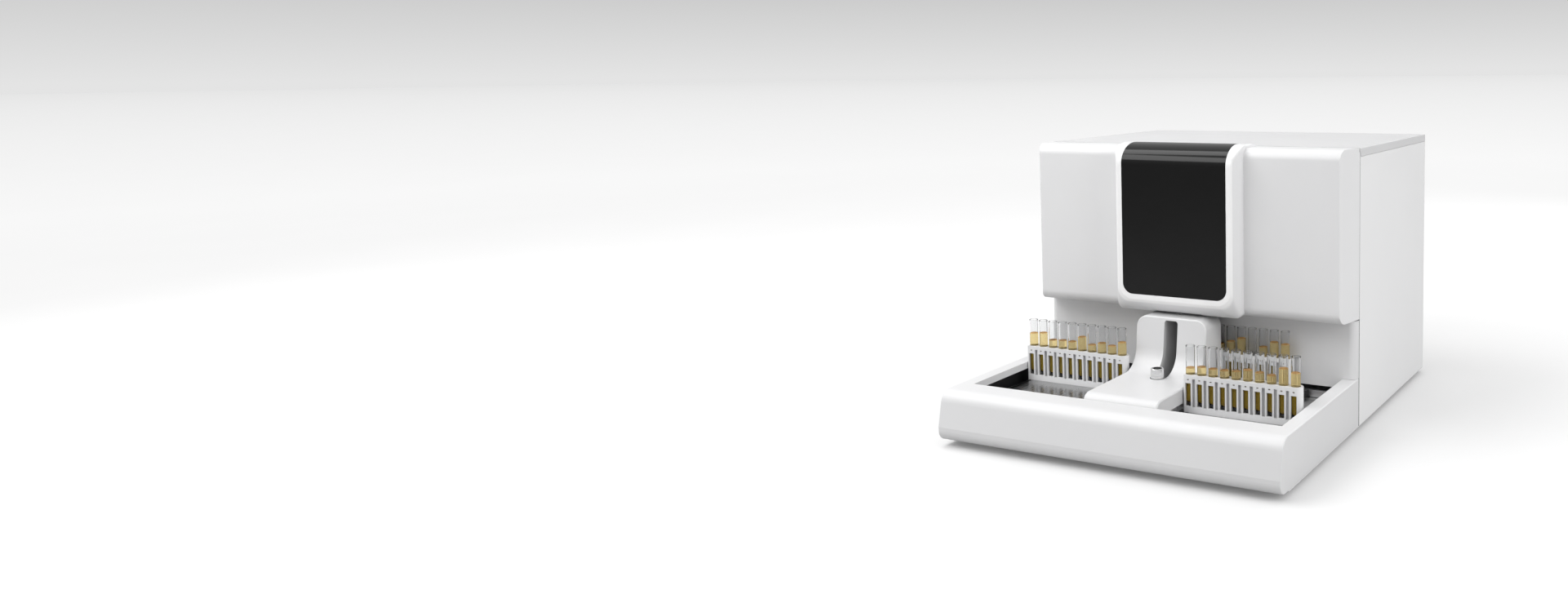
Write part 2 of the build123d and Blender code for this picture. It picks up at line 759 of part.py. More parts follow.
def sled():
    """The cross shuttle: a bar under the channel, two pins, and a pusher to the right of the rack."""
    y = ahead(CHANNEL_AHEAD)
    top = FLOOR_Z - SHEET - SEAT_GAP
    low = top - SLED_H
    left, right = pin_places(0)
    half = LANE_SLOT / 2 - SEAM_GAP
    end = RACK_LEN - RACK_LEFT + SLED_END
    bar = block(left - half, end, y - SLED_HALF, y + SLED_HALF, low, top)
    groove = block(left - half, end, y - SLED_RAIL_HALF - SEAT_GAP, y + SLED_RAIL_HALF + SEAT_GAP,
                   low, top - SLED_H / 2)
    pins = [block(x - half, x + half, y - PIN_HALF, y + PIN_HALF, top, FLOOR_Z + PIN_RISE)
            for x in (left, right)]
    sole = FLOOR_Z + SEAT_GAP
    neck = block(end - SHEET, end, y - half, y + half, top, sole)
    arm = block(end - SHEET, PUSHER_END, y - half, y + half, sole, sole + SHEET)
    pusher = block(PUSHER_END - PUSHER_W, PUSHER_END, y - half, y + PUSHER_BACK, sole, FLOOR_Z + PUSHER_H)
    return bar - groove + pins + neck + arm + pusher


def sled_rail():
    y = ahead(CHANNEL_AHEAD)
    half = LANE_OUT - LANE_SIDE_GAP - SHEET
    top = FLOOR_Z - SHEET - SEAT_GAP - SLED_H / 2 - SEAT_GAP
    return block(-half, half, y - SLED_RAIL_HALF, y + SLED_RAIL_HALF, top - SLED_H, top)


# Racks and tubes

def rack(first_tube_x, rack_ahead):
    """A moulded rack: a flat left end, a round right end, a window before every tube."""
    y = ahead(rack_ahead)
    front = y - RACK_D / 2
    left = first_tube_x - RACK_LEFT
    right = left + RACK_LEN
    round_r = RACK_D / 2 - PLANE_TOL
    plan = outline([
        (left, front, RACK_EDGE_R),
        (right, front, round_r),
        (right, front + RACK_D, round_r),
        (left, front + RACK_D, RACK_EDGE_R),
    ])
    body = upward(plan, FLOOR_Z, FLOOR_Z + RACK_H)
    bore_r = TUBE_R + TUBE_CLEAR
    bore_low = FLOOR_Z + RACK_FLOOR
    bore_high = FLOOR_Z + RACK_H + PAST
    places = [first_tube_x + PITCH * i for i in range(POSITIONS)]
    bores = [ConvexPolyhedron(ring(x, y, bore_r, bore_low) + ring(x, y, bore_r, bore_high)) for x in places]
    windows = [block(x - WINDOW_W / 2, x + WINDOW_W / 2, front, y, FLOOR_Z + WINDOW_LOW, FLOOR_Z + WINDOW_HIGH)
               for x in places]
    spy_z = FLOOR_Z + SPY_MID
    spies = [block(x - SPY_W / 2, x + SPY_W / 2, front, y, spy_z - SPY_H / 2, spy_z + SPY_H / 2) for x in places]
    ribs = [block(x - RIB_SLOT_W / 2, x + RIB_SLOT_W / 2, front, front + RIB_SLOT_DEPTH,
                  FLOOR_Z + RIB_SLOT_LOW, FLOOR_Z + RIB_SLOT_HIGH)
            for x in [place + PITCH / 2 for place in places[:-1]]]
    foot = block(left + RACK_SKIN, right - RACK_D / 2 + 2 * RACK_SKIN, front + RACK_SKIN,
                 front + RACK_D - RACK_SKIN, FLOOR_Z, FLOOR_Z + RACK_RECESS)
    return body - bores - windows - spies - ribs - foot


def tube(x, y, base_z):
    """A tube with a tapered end, open at the top."""
    top = base_z + TUBE_LEN
    neck = base_z + TUBE_CONE
    inner_r = TUBE_R - TUBE_WALL
    tip = ring(x, y, TUBE_TIP_R, base_z)
    outer = ConvexPolyhedron(ring(x, y, TUBE_R, top) + ring(x, y, TUBE_R, neck) + tip)
    apex = (x, y, base_z + TUBE_FLOOR)
    return outer - ConvexPolyhedron(ring(x, y, inner_r, top) + ring(x, y, inner_r, neck) + [apex])


def sample(x, y, base_z, depth):
    """The urine in a tube, up to `depth` above the tube's tip."""
    inner_r = TUBE_R - TUBE_WALL - FILL_CLEAR
    apex = (x, y, base_z + TUBE_FLOOR + 2 * FILL_CLEAR)
    surface = ring(x, y, inner_r, base_z + depth)
    return ConvexPolyhedron(surface + ring(x, y, inner_r, base_z + TUBE_CONE) + [apex])


def row_of_tubes(first_tube_x, rack_ahead, first=0):
    y = ahead(rack_ahead)
    base = FLOOR_Z + RACK_FLOOR
    return [tube(first_tube_x + PITCH * i, y, base) for i in range(first, POSITIONS)]


def row_of_samples(first_tube_x, rack_ahead, depths):
    y = ahead(rack_ahead)
    base = FLOOR_Z + RACK_FLOOR
    return [sample(first_tube_x + PITCH * i, y, base, depth) for i, depth in enumerate(depths)]


# Bridge

def bridge_side(inset):
    """The bridge seen from the side: a flat tongue that sweeps up into a leaning front."""
    lean = math.radians(SWEEP_LEAN)
    radius = SWEEP_R + inset
    centre_y = ahead(SWEEP_AHEAD)
    centre_z = FOOT_H + TONGUE_H + SWEEP_R
    top = FOOT_H + BRIDGE_TOP_H - inset
    tongue = FOOT_H + TONGUE_H - inset
    start = (centre_y + radius * math.cos(lean), centre_z - radius * math.sin(lean))
    crown = (start[0] + (top - start[1]) * math.tan(lean), top)
    back = ahead(BRIDGE_BACK_AHEAD)
    foot = FOOT_H + BRIDGE_FOOT_H
    nose = ahead(TONGUE_AHEAD) + inset
    face = make_face([
        Line((back, foot), (back, top)),
        Line((back, top), crown),
        Line(crown, start),
        CenterArc((centre_y, centre_z), radius, -SWEEP_LEAN, SWEEP_LEAN - 90),
        Line((centre_y, tongue), (nose, tongue)),
        Line((nose, tongue), (nose, foot)),
        Line((nose, foot), (back, foot)),
    ])
    return fillet(face.vertices().sort_by_distance((nose, tongue))[0], TONGUE_ROLL_R - inset)


def on_bridge_front(edge):
    """Whether an edge runs round the tongue, the sweep and the upright's face."""
    ends = edge.vertices()
    back = ahead(BRIDGE_BACK_AHEAD) - PLANE_TOL
    foot = FOOT_H + BRIDGE_FOOT_H + PLANE_TOL
    top = FOOT_H + BRIDGE_TOP_H
    behind = any(end.Y > back for end in ends)
    below = all(end.Z < foot for end in ends)
    spans = abs(ends[0].X - ends[-1].X) > BRIDGE_HALF
    crown = all(abs(end.Z - top) < PLANE_TOL for end in ends)
    return not behind and not below and (crown or not spans)


def bridge_form(inset):
    half = BRIDGE_HALF - inset
    top = FOOT_H + BRIDGE_TOP_H - inset
    foot = FOOT_H + BRIDGE_FOOT_H
    sight = outline([
        (-half, foot, 0),
        (half, foot, 0),
        (half, top, BRIDGE_CORNER_R - inset),
        (-half, top, BRIDGE_CORNER_R - inset),
    ])
    form = across(bridge_side(inset), -half, half) & backward(sight, ahead(TONGUE_AHEAD), ahead(BRIDGE_BACK_AHEAD))
    if inset:
        return form
    return chamfer([edge for edge in form.edges() if on_bridge_front(edge)], BRIDGE_EDGE)


def slot_form(grow, back_ahead, low, high):
    """The tall slot, from its round front end in the tongue back through the upright."""
    half = SLOT_HALF + grow
    y = ahead(HOLDER_AHEAD)
    run = block(-half, half, y, ahead(back_ahead), low, high)
    edges = run.edges().filter_by(Axis.Y).sort_by(Axis.Z)[-2:]
    return fillet(edges, SLOT_CORNER_R) + rod(half, (0, y, low), (0, y, high))


def bridge_cover():
    foot = FOOT_H + BRIDGE_FOOT_H
    outer = bridge_form(0)
    shell = outer - bridge_form(BRIDGE_WALL)
    tunnel = slot_form(TUNNEL_WALL, TUNNEL_BACK_AHEAD, foot, FOOT_H + SLOT_TOP_H + TUNNEL_WALL) & outer
    slot = slot_form(0, BRIDGE_BACK_AHEAD - PAST, foot - PAST, FOOT_H + SLOT_TOP_H)
    dip_y = ahead(CHANNEL_AHEAD + PROBE_TRAVEL)
    dip = rod(DIP_HOLE_R, (0, dip_y, FOOT_H + SLOT_TOP_H - PAST), (0, dip_y, FOOT_H + BRIDGE_TOP_H + PAST))
    return shell + tunnel - slot - dip


def bridge_stand():
    """A folded stand under the tongue, on the right of the single-tube holder."""
    top = FOOT_H + TONGUE_H - BRIDGE_WALL
    front = ahead(TONGUE_AHEAD - TONGUE_ROLL_R)
    back = ahead(SWEEP_AHEAD)
    x0 = STAND_HALF
    x1 = STAND_HALF + STAND_W
    web = block(x0, x0 + SHEET, front, back, BASE_TOP_Z, top)
    head = block(x0, x1, front, back, top - SHEET, top)
    toe = block(x0, x1, front, back, BASE_TOP_Z, BASE_TOP_Z + SHEET)
    return web + head + toe


# Single-tube holder

def tube_collar():
    y = ahead(HOLDER_AHEAD)
    top = FOOT_H + COLLAR_TOP_H
    sleeve = rod(COLLAR_R, (0, y, top - COLLAR_LEN), (0, y, top))
    sleeve = chamfer(sleeve.edges().filter_by(GeomType.CIRCLE).sort_by(Axis.Z)[-1], COLLAR_EDGE)
    return sleeve - rod(COLLAR_BORE_R, (0, y, top - COLLAR_LEN), (0, y, top))


def tube_holder():
    y = ahead(HOLDER_AHEAD)
    low = BASE_TOP_Z + SEAT_GAP
    high = FOOT_H + COLLAR_TOP_H - COLLAR_LEN
    foot = block(-HOLDER_SLIDE_HALF, HOLDER_SLIDE_HALF, y - HOLDER_SLIDE_HALF, y + HOLDER_SLIDE_HALF,
                 low, low + HOLDER_SLIDE_H)
    groove = block(-HOLDER_RAIL_HALF - SEAT_GAP, HOLDER_RAIL_HALF + SEAT_GAP, y - HOLDER_SLIDE_HALF,
                   y + HOLDER_SLIDE_HALF, low, BASE_TOP_Z + HOLDER_RAIL_H + SEAT_GAP)
    cup = rod(CUP_R, (0, y, low + HOLDER_SLIDE_H), (0, y, high))
    bore = rod(CUP_BORE_R, (0, y, low + HOLDER_SLIDE_H + CUP_FLOOR), (0, y, high))
    return foot - groove + cup - bore


def holder_rail():
    y = ahead(HOLDER_AHEAD)
    back = ahead(CHANNEL_AHEAD + PROBE_TRAVEL) + HOLDER_SLIDE_HALF + HOLDER_RAIL_END
    return block(-HOLDER_RAIL_HALF, HOLDER_RAIL_HALF, y - HOLDER_SLIDE_HALF - HOLDER_RAIL_END, back,
                 BASE_TOP_Z, BASE_TOP_Z + HOLDER_RAIL_H)


# Bulkhead and the works behind the cover

def bulkhead():
    low = COVER_BOTTOM_Z - COVER_GAP
    high = HINGE_Z - LEAF_T
    half = BULKHEAD_HALF
    sheet = block(-half, half, BULKHEAD_Y, BULKHEAD_Y + SHEET, low, high)
    head = block(-half, half, BULKHEAD_Y, BULKHEAD_Y + LEAF_LEN, high - SHEET, high)
    foot = block(-half, half, SEAM_Y, BULKHEAD_Y, low, low + SHEET)
    return sheet + head + foot


def catch_magnets():
    low = FOOT_H + CATCH_H
    magnet = block(CATCH_X - CATCH_W, CATCH_X, ahead(CATCH_AHEAD), BULKHEAD_Y, low, low + CATCH_HIGH)
    return [magnet, mirrored(magnet)]


def catch_plates():
    """Two steel plates in the cover's ends that the magnets hold."""
    low = FOOT_H + CATCH_H
    far = CATCH_AHEAD + CATCH_T
    reach = SIDE_X - WALL - (SIDE_X - COVER_FRONT_HALF) * far / COVER_AHEAD
    plate = block(CATCH_X - CATCH_W, reach, ahead(far), ahead(CATCH_AHEAD + SEAT_GAP), low, low + CATCH_HIGH)
    return [plate, mirrored(plate)]


def probe_beam():
    """The fixed beam over the channel, bolted to the bulkhead."""
    front = PROBE_Y - PROBE_TRAVEL - CARRIAGE_HALF
    low = FOOT_H + BEAM_H
    high = low + BEAM_HIGH
    beam = block(BEAM_X, BEAM_X + BEAM_W, front, BULKHEAD_Y, low, high)
    pad = block(BEAM_X - PAD_EDGE, BEAM_X + BEAM_W + PAD_EDGE, BULKHEAD_Y - PAD_T, BULKHEAD_Y,
                low - PAD_EDGE, high + PAD_EDGE)
    return beam + pad


def probe_carriage():
    """The plate that runs along the beam and carries the lift rail and the wash collar."""
    front = PROBE_Y - CARRIAGE_HALF
    back = PROBE_Y + CARRIAGE_HALF
    low = FOOT_H + BEAM_H
    high = low + BEAM_HIGH + SHOE_WALL
    inner = CARRIAGE_X + CARRIAGE_T
    plate = block(CARRIAGE_X, inner, front, back, WASH_Z, high)
    shoe = block(inner, BEAM_X + BEAM_W + SHOE_WALL, front, back, low - SHOE_WALL, high)
    room = block(BEAM_X - SEAT_GAP, BEAM_X + BEAM_W + SEAT_GAP, front, back,
                 low - SEAT_GAP, low + BEAM_HIGH + SEAT_GAP)
    arm = block(0, CARRIAGE_X, PROBE_Y - ARM_HALF, PROBE_Y + ARM_HALF, WASH_Z, WASH_Z + WASH_H)
    wash = rod(WASH_R, (0, PROBE_Y, WASH_Z), (0, PROBE_Y, WASH_Z + WASH_H))
    bore = rod(PROBE_R + PROBE_CLEAR, (0, PROBE_Y, WASH_Z), (0, PROBE_Y, WASH_Z + WASH_H))
    return plate + (shoe - room) + arm + wash - bore


def lift_rail():
    high = FOOT_H + BEAM_H + BEAM_HIGH + SHOE_WALL
    return block(CARRIAGE_X - LIFT_RAIL_T, CARRIAGE_X, PROBE_Y - LIFT_RAIL_HALF, PROBE_Y + LIFT_RAIL_HALF,
                 WASH_Z + WASH_H, high)


def probe_holder():
    """The block that slides on the lift rail and grips the needle."""
    high = FOOT_H + PROBE_REST_H + PROBE_LEN
    low = high - GRIP_H
    right = CARRIAGE_X - GRIP_CLEAR
    rail_half = LIFT_RAIL_HALF + SEAT_GAP
    body = block(-GRIP_LEFT, right, PROBE_Y - GRIP_HALF, PROBE_Y + GRIP_HALF, low, high)
    room = block(CARRIAGE_X - LIFT_RAIL_T - SEAT_GAP, right, PROBE_Y - rail_half, PROBE_Y + rail_half, low, high)
    return body - room - rod(PROBE_R, (0, PROBE_Y, low), (0, PROBE_Y, high))


def probe_needle():
    low = FOOT_H + PROBE_REST_H
    return rod(PROBE_R, (0, PROBE_Y, low), (0, PROBE_Y, low + PROBE_LEN + PROBE_STUB))


def pump_body():
    """The syringe pump's housing, with a head that holds the glass barrel."""
    low = FOOT_H + PUMP_H
    high = low + PUMP_HIGH
    case = block(PUMP_X - PUMP_HALF, PUMP_X + PUMP_HALF, ahead(PUMP_FACE_AHEAD), BULKHEAD_Y, low, high)
    head = block(PUMP_X - PUMP_HEAD_HALF, PUMP_X + PUMP_HEAD_HALF, ahead(PUMP_HEAD_AHEAD),
                 ahead(PUMP_FACE_AHEAD), low + PUMP_HEAD_H, high)
    return case + head


def pump_barrel():
    y = ahead(BARREL_AHEAD)
    high = FOOT_H + PUMP_H + PUMP_HEAD_H
    low = high - BARREL_LEN
    glass = bar(BARREL_R, BARREL_SIDES, (PUMP_X, y, low), (PUMP_X, y, high))
    return glass - bar(BARREL_BORE_R, BARREL_SIDES, (PUMP_X, y, low), (PUMP_X, y, high - BARREL_END))


def pump_plunger():
    """A seal in the barrel, a stem and a yoke that a drive moves up and down."""
    y = ahead(BARREL_AHEAD)
    high = FOOT_H + PUMP_H + PUMP_HEAD_H - SEAL_DROP
    seal_low = high - SEAL_LEN
    low = seal_low - STEM_LEN
    seal = bar(SEAL_R, BARREL_SIDES, (PUMP_X, y, seal_low), (PUMP_X, y, high))
    stem = bar(STEM_R, BARREL_SIDES, (PUMP_X, y, low), (PUMP_X, y, seal_low))
    yoke = block(PUMP_X - YOKE_PLATE_HALF, PUMP_X + YOKE_PLATE_HALF, ahead(YOKE_PLATE_AHEAD),
                 ahead(PUMP_FACE_AHEAD + SEAT_GAP), low - YOKE_PLATE_T, low)
    return seal + stem + yoke


def along_axis(radius, start, end):
    """A round part of the microscope, between two places on its axis."""
    return bar(radius, BARREL_SIDES, (OPTICS_X + start, OPTICS_Y, OPTICS_Z), (OPTICS_X + end, OPTICS_Y, OPTICS_Z))


def optics_base():
    low = FOOT_H + OPTICS_H
    return block(OPTICS_X - OPTICS_HALF, OPTICS_X + OPTICS_HALF, ahead(OPTICS_FACE_AHEAD), BULKHEAD_Y,
                 low, low + OPTICS_HIGH)


def optics_camera():
    case = block(OPTICS_X + CAMERA_START, OPTICS_X + CAMERA_END, OPTICS_Y - CAMERA_HALF,
                 ahead(OPTICS_FACE_AHEAD), OPTICS_Z - CAMERA_HALF, OPTICS_Z + CAMERA_HALF)
    return case + along_axis(LENS_R, LENS_START, CAMERA_START)


def optics_objective():
    return along_axis(OBJECTIVE_R, OBJECTIVE_STEP, LENS_START) + along_axis(OBJECTIVE_TIP_R, OBJECTIVE_TIP, OBJECTIVE_STEP)


def flow_cell():
    start = OPTICS_X + CELL_START
    return block(start, start + CELL_T, ahead(CELL_AHEAD), ahead(OPTICS_FACE_AHEAD),
                 OPTICS_Z - CELL_HALF, OPTICS_Z + CELL_HALF)


def optics_lamp():
    foot = block(OPTICS_X + LAMP_END + LAMP_FOOT_EDGE, OPTICS_X + LAMP_STEP - LAMP_FOOT_EDGE, OPTICS_Y,
                 ahead(OPTICS_FACE_AHEAD), OPTICS_Z - LAMP_FOOT_HALF, OPTICS_Z + LAMP_FOOT_HALF)
    return along_axis(LAMP_R, LAMP_END, LAMP_STEP) + along_axis(LAMP_TIP_R, LAMP_STEP, LAMP_TIP) + foot


# Rear

def panel_hole(half, half_h, z):
    """A square hole for the inlet or the switch."""
    return block(INLET_X - half - PANEL_FIT, INLET_X + half + PANEL_FIT, PANEL_Y - SHEET, PANEL_Y,
                 z - half_h - PANEL_FIT, z + half_h + PANEL_FIT)


def fan_guard():
    """Bars across the fan's hole, left standing in the sheet."""
    z = FOOT_H + FAN_H
    first = z - GUARD_PITCH * (GUARD_BARS - 1) / 2
    bars = [block(FAN_X - FAN_BORE_R, FAN_X + FAN_BORE_R, PANEL_Y - SHEET, PANEL_Y,
                  first + GUARD_PITCH * i - GUARD_BAR_W / 2, first + GUARD_PITCH * i + GUARD_BAR_W / 2)
            for i in range(GUARD_BARS)]
    post = block(FAN_X - GUARD_POST_W / 2, FAN_X + GUARD_POST_W / 2, PANEL_Y - SHEET, PANEL_Y,
                 z - FAN_BORE_R, z + FAN_BORE_R)
    return post + bars


def fan_bore(start, end):
    z = FOOT_H + FAN_H
    return bar(FAN_BORE_R, FAN_SIDES, (FAN_X, start, z), (FAN_X, end, z))


def port_places():
    return [PORT_X + PORT_PITCH * i for i in range(PORTS)]


def rear_panel():
    half = SIDE_X - SIDE_WALL - SEAM_GAP
    inside = PANEL_Y - SHEET
    sheet = block(-half, half, inside, PANEL_Y, FOOT_H, TOP_Z - TOP_SKIRT)
    vents = [block(x - VENT_W / 2, x + VENT_W / 2, inside, PANEL_Y, z, z + VENT_T)
             for x in (VENT_X - VENT_SPACING / 2, VENT_X + VENT_SPACING / 2)
             for z in [FOOT_H + VENT_H + VENT_PITCH * row for row in range(VENT_ROWS)]]
    z = FOOT_H + PORT_H
    ports = [bar(PORT_SHANK_R + PANEL_FIT, PORT_SIDES, (x, inside, z), (x, PANEL_Y, z)) for x in port_places()]
    inlet = panel_hole(INLET_HALF, INLET_HALF_H, FOOT_H + INLET_H)
    switch = panel_hole(SWITCH_HALF, SWITCH_HALF_H, FOOT_H + INLET_H + SWITCH_UP)
    return sheet - vents - fan_bore(inside, PANEL_Y) + fan_guard() - inlet - switch - ports


def fluid_ports():
    """Three hose spigots with flanges outside and nuts inside the rear panel."""
    z = FOOT_H + PORT_H
    inside = PANEL_Y - SHEET
    start = inside - PORT_SHANK_LEN
    neck = BACK_Y + PORT_FLANGE_T
    end = BACK_Y + PORT_LEN
    made = []
    for x in port_places():
        spigot = rod(PORT_R, (x, neck, z), (x, end, z))
        flange = bar(PORT_FLANGE_R, PORT_SIDES, (x, PANEL_Y, z), (x, neck, z))
        shank = bar(PORT_SHANK_R, PORT_SIDES, (x, start, z), (x, PANEL_Y, z))
        nut = bar(PORT_NUT_R, SCREW_SIDES, (x, inside - PORT_NUT_T, z), (x, inside, z))
        bore = bar(PORT_BORE_R, PORT_SIDES, (x, start, z), (x, end, z))
        made.append(spigot + flange + shank + nut - bore)
    return made


def power_inlet():
    z = FOOT_H + INLET_H
    room_half = INLET_HALF - INLET_WALL
    room_half_h = INLET_HALF_H - INLET_WALL
    room_end = PANEL_Y - INLET_ROOM
    body = block(INLET_X - INLET_HALF, INLET_X + INLET_HALF, PANEL_Y - INLET_DEPTH, PANEL_Y,
                 z - INLET_HALF_H, z + INLET_HALF_H)
    room = block(INLET_X - room_half, INLET_X + room_half, room_end, PANEL_Y, z - room_half_h, z + room_half_h)
    spots = [(INLET_X - BLADE_X, z + BLADE_UP), (INLET_X, z - BLADE_UP), (INLET_X + BLADE_X, z + BLADE_UP)]
    blades = [block(x - BLADE_HALF, x + BLADE_HALF, room_end, PANEL_Y - BLADE_BACK, h - BLADE_HALF_H, h + BLADE_HALF_H)
              for x, h in spots]
    return body - room + blades


def rocker_axle(radius, half):
    """A bar on the rocker's axis, which runs in X through the switch."""
    y = PANEL_Y - ROCKER_AXIS_IN
    z = FOOT_H + INLET_H + SWITCH_UP
    return rod(radius, (INLET_X - half, y, z), (INLET_X + half, y, z))


def switch_frame():
    z = FOOT_H + INLET_H + SWITCH_UP
    room_half = SWITCH_HALF - SWITCH_WALL
    room_half_h = SWITCH_HALF_H - SWITCH_WALL
    body = block(INLET_X - SWITCH_HALF, INLET_X + SWITCH_HALF, PANEL_Y - SWITCH_DEPTH, PANEL_Y,
                 z - SWITCH_HALF_H, z + SWITCH_HALF_H)
    room = block(INLET_X - room_half, INLET_X + room_half, PANEL_Y - SWITCH_ROOM, PANEL_Y,
                 z - room_half_h, z + room_half_h)
    return body - room - rocker_axle(ROCKER_AXLE_R + HINGE_FIT, room_half + SWITCH_WALL / 2)


def power_rocker():
    """The rocker, dished in the middle, turns on its axle in the frame."""
    z = FOOT_H + INLET_H + SWITCH_UP
    inner = PANEL_Y - ROCKER_DEPTH
    profile = outline([
        (inner, z - ROCKER_HALF_H, 0),
        (PANEL_Y + ROCKER_TIP, z - ROCKER_HALF_H, 0),
        (PANEL_Y - ROCKER_DISH, z, 0),
        (PANEL_Y + ROCKER_TIP, z + ROCKER_HALF_H, 0),
        (inner, z + ROCKER_HALF_H, 0),
    ])
    room_half = SWITCH_HALF - SWITCH_WALL
    half = room_half - ROCKER_FIT
    return across(profile, INLET_X - half, INLET_X + half) + rocker_axle(
        ROCKER_AXLE_R, room_half + SWITCH_WALL / 2 - ROCKER_AXLE_GAP)


def fan_frame():
    """A square frame with four arms that hold the fan's shaft."""
    back = PANEL_Y - SHEET
    front = back - FAN_DEPTH
    z = FOOT_H + FAN_H
    half = FAN_SIZE / 2
    reach = FAN_BORE_R + PAST
    case = block(FAN_X - half, FAN_X + half, front, back, z - half, z + half) - fan_bore(front, back)
    seat = bar(FAN_HUB_R, FAN_SIDES, (FAN_X, front, z), (FAN_X, front + FAN_ARM_T, z))
    level = block(FAN_X - reach, FAN_X + reach, front, front + FAN_ARM_T, z - FAN_ARM_HALF, z + FAN_ARM_HALF)
    upright = block(FAN_X - FAN_ARM_HALF, FAN_X + FAN_ARM_HALF, front, front + FAN_ARM_T, z - reach, z + reach)
    shaft = rod(FAN_SHAFT_R, (FAN_X, front, z), (FAN_X, back - FAN_SHAFT_END, z))
    return case + seat + level + upright + shaft


def fan_rotor():
    """A hub with tilted blades."""
    back = PANEL_Y - SHEET
    start = back - FAN_DEPTH + FAN_ARM_T + SEAT_GAP
    end = back - FAN_HUB_END
    z = FOOT_H + FAN_H
    root = FAN_HUB_R - FAN_BLADE_T * 2
    tip = FAN_BORE_R - FAN_TIP_GAP
    hub = bar(FAN_HUB_R, FAN_SIDES, (FAN_X, start, z), (FAN_X, end, z))
    blade = Pos((root + tip) / 2, 0, 0) * (Rot(FAN_BLADE_TILT, 0, 0) * Box(tip - root, FAN_BLADE_T, FAN_BLADE_W))
    middle = Pos(FAN_X, (start + end) / 2, z)
    blades = [middle * Rot(0, 360.0 / FAN_BLADES * i, 0) * blade for i in range(FAN_BLADES)]
    shaft_room = rod(FAN_SHAFT_R + HINGE_FIT, (FAN_X, start, z), (FAN_X, back - FAN_SHAFT_END + SEAT_GAP, z))
    return hub + blades - shaft_room


def rear_screws():
    heights = (FOOT_H + SCREW_EDGE, TOP_Z - TOP_SKIRT - SCREW_EDGE)
    spots = [(x, z) for x in (-SCREW_X, 0, SCREW_X) for z in heights]
    return [bar(SCREW_HEAD_R, SCREW_SIDES, (x, PANEL_Y, z), (x, PANEL_Y + SCREW_HEAD_T, z)) for x, z in spots]


def bulkhead_screws():
    z = TOP_Z - BULKHEAD_SCREW_DROP
    xs = (-BULKHEAD_SCREW_OUT, -BULKHEAD_SCREW_IN, BULKHEAD_SCREW_IN, BULKHEAD_SCREW_OUT)
    return [bar(SCREW_HEAD_R, SCREW_SIDES, (x, BULKHEAD_Y - SCREW_HEAD_T, z), (x, BULKHEAD_Y, z)) for x in xs]


def write_housing():
    save("base_plate", base_plate())
    save("feet", *feet())
    panel = right_side_panel()
    save("right_side_panel", panel)
    save("left_side_panel", mirrored(panel))
    save("top_cover", top_cover())
    save("rack_tray", rack_tray())
    save("lower_front_panel", lower_front_panel())


def write_cover():
    save("front_cover", front_cover())
    save("front_window", front_window())
    save("hinge_fixed_leaves", hinge_fixed_leaf(-HINGE_X), hinge_fixed_leaf(HINGE_X))
    save("hinge_moving_leaves", hinge_moving_leaf(-HINGE_X), hinge_moving_leaf(HINGE_X))
    save("hinge_pins", hinge_pin(-HINGE_X), hinge_pin(HINGE_X))
    save("catch_magnets", *catch_magnets())
    save("catch_plates", *catch_plates())


def write_lanes():
    save("left_lane_floor", lane_floor(LEFT_RACK_X))
    save("right_lane_floor", lane_floor(RIGHT_RACK_X))
    save("left_shuttle", shuttle(LEFT_RACK_X, LEFT_RACK_AHEAD))
    save("right_shuttle", shuttle(RIGHT_RACK_X, RIGHT_RACK_AHEAD))
    save("shuttle_rails", shuttle_rail(LEFT_RACK_X), shuttle_rail(RIGHT_RACK_X))
    save("channel_floor", channel_floor())
    save("channel_guide", channel_guide())
    save("cross_shuttle", sled())
    save("cross_shuttle_rail", sled_rail())


def write_racks():
    save("left_rack", rack(LEFT_RACK_X, LEFT_RACK_AHEAD))
    save("right_rack", rack(RIGHT_RACK_X, RIGHT_RACK_AHEAD))
    save("middle_rack", rack(0, CHANNEL_AHEAD))
    save("left_tubes", *row_of_tubes(LEFT_RACK_X, LEFT_RACK_AHEAD))
    save("right_tubes", *row_of_tubes(RIGHT_RACK_X, RIGHT_RACK_AHEAD))
    save("middle_tubes", *row_of_tubes(0, CHANNEL_AHEAD, 1))
    save("sampled_tube", tube(0, ahead(CHANNEL_AHEAD), FLOOR_Z + RACK_FLOOR))
    save("left_samples", *row_of_samples(LEFT_RACK_X, LEFT_RACK_AHEAD, LEFT_FILLS))
    save("right_samples", *row_of_samples(RIGHT_RACK_X, RIGHT_RACK_AHEAD, RIGHT_FILLS))
    save("middle_samples", *row_of_samples(PITCH, CHANNEL_AHEAD, MIDDLE_FILLS))


def write_bridge():
    save("bridge_cover", bridge_cover())
    save("bridge_stands", bridge_stand(), mirrored(bridge_stand()))
    save("tube_collar", tube_collar())
    save("tube_holder", tube_holder())
    save("holder_rail", holder_rail())


def write_works():
    save("bulkhead", bulkhead())
    save("probe_beam", probe_beam())
    save("probe_carriage", probe_carriage())
    save("lift_rail", lift_rail())
    save("probe_holder", probe_holder())
    save("probe_needle", probe_needle())
    save("pump_body", pump_body())
    save("pump_barrel", pump_barrel())
    save("pump_plunger", pump_plunger())
    save("optics_base", optics_base())
    save("optics_camera", optics_camera())
    save("optics_objective", optics_objective())
    save("flow_cell", flow_cell())
    save("optics_lamp", optics_lamp())


def write_rear():
    save("rear_panel", rear_panel())
    save("fluid_ports", *fluid_ports())
    save("power_inlet", power_inlet())
    save("switch_frame", switch_frame())
    save("power_rocker", power_rocker())
    save("fan_frame", fan_frame())
    save("fan_rotor", fan_rotor())
    save("screws", *rear_screws(), *bulkhead_screws())


os.makedirs("parts", exist_ok=True)
write_housing()
write_cover()
write_lanes()
write_racks()
write_bridge()
write_works()
write_rear()
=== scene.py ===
import bmesh
import bpy
import math
from mathutils import Matrix, Vector


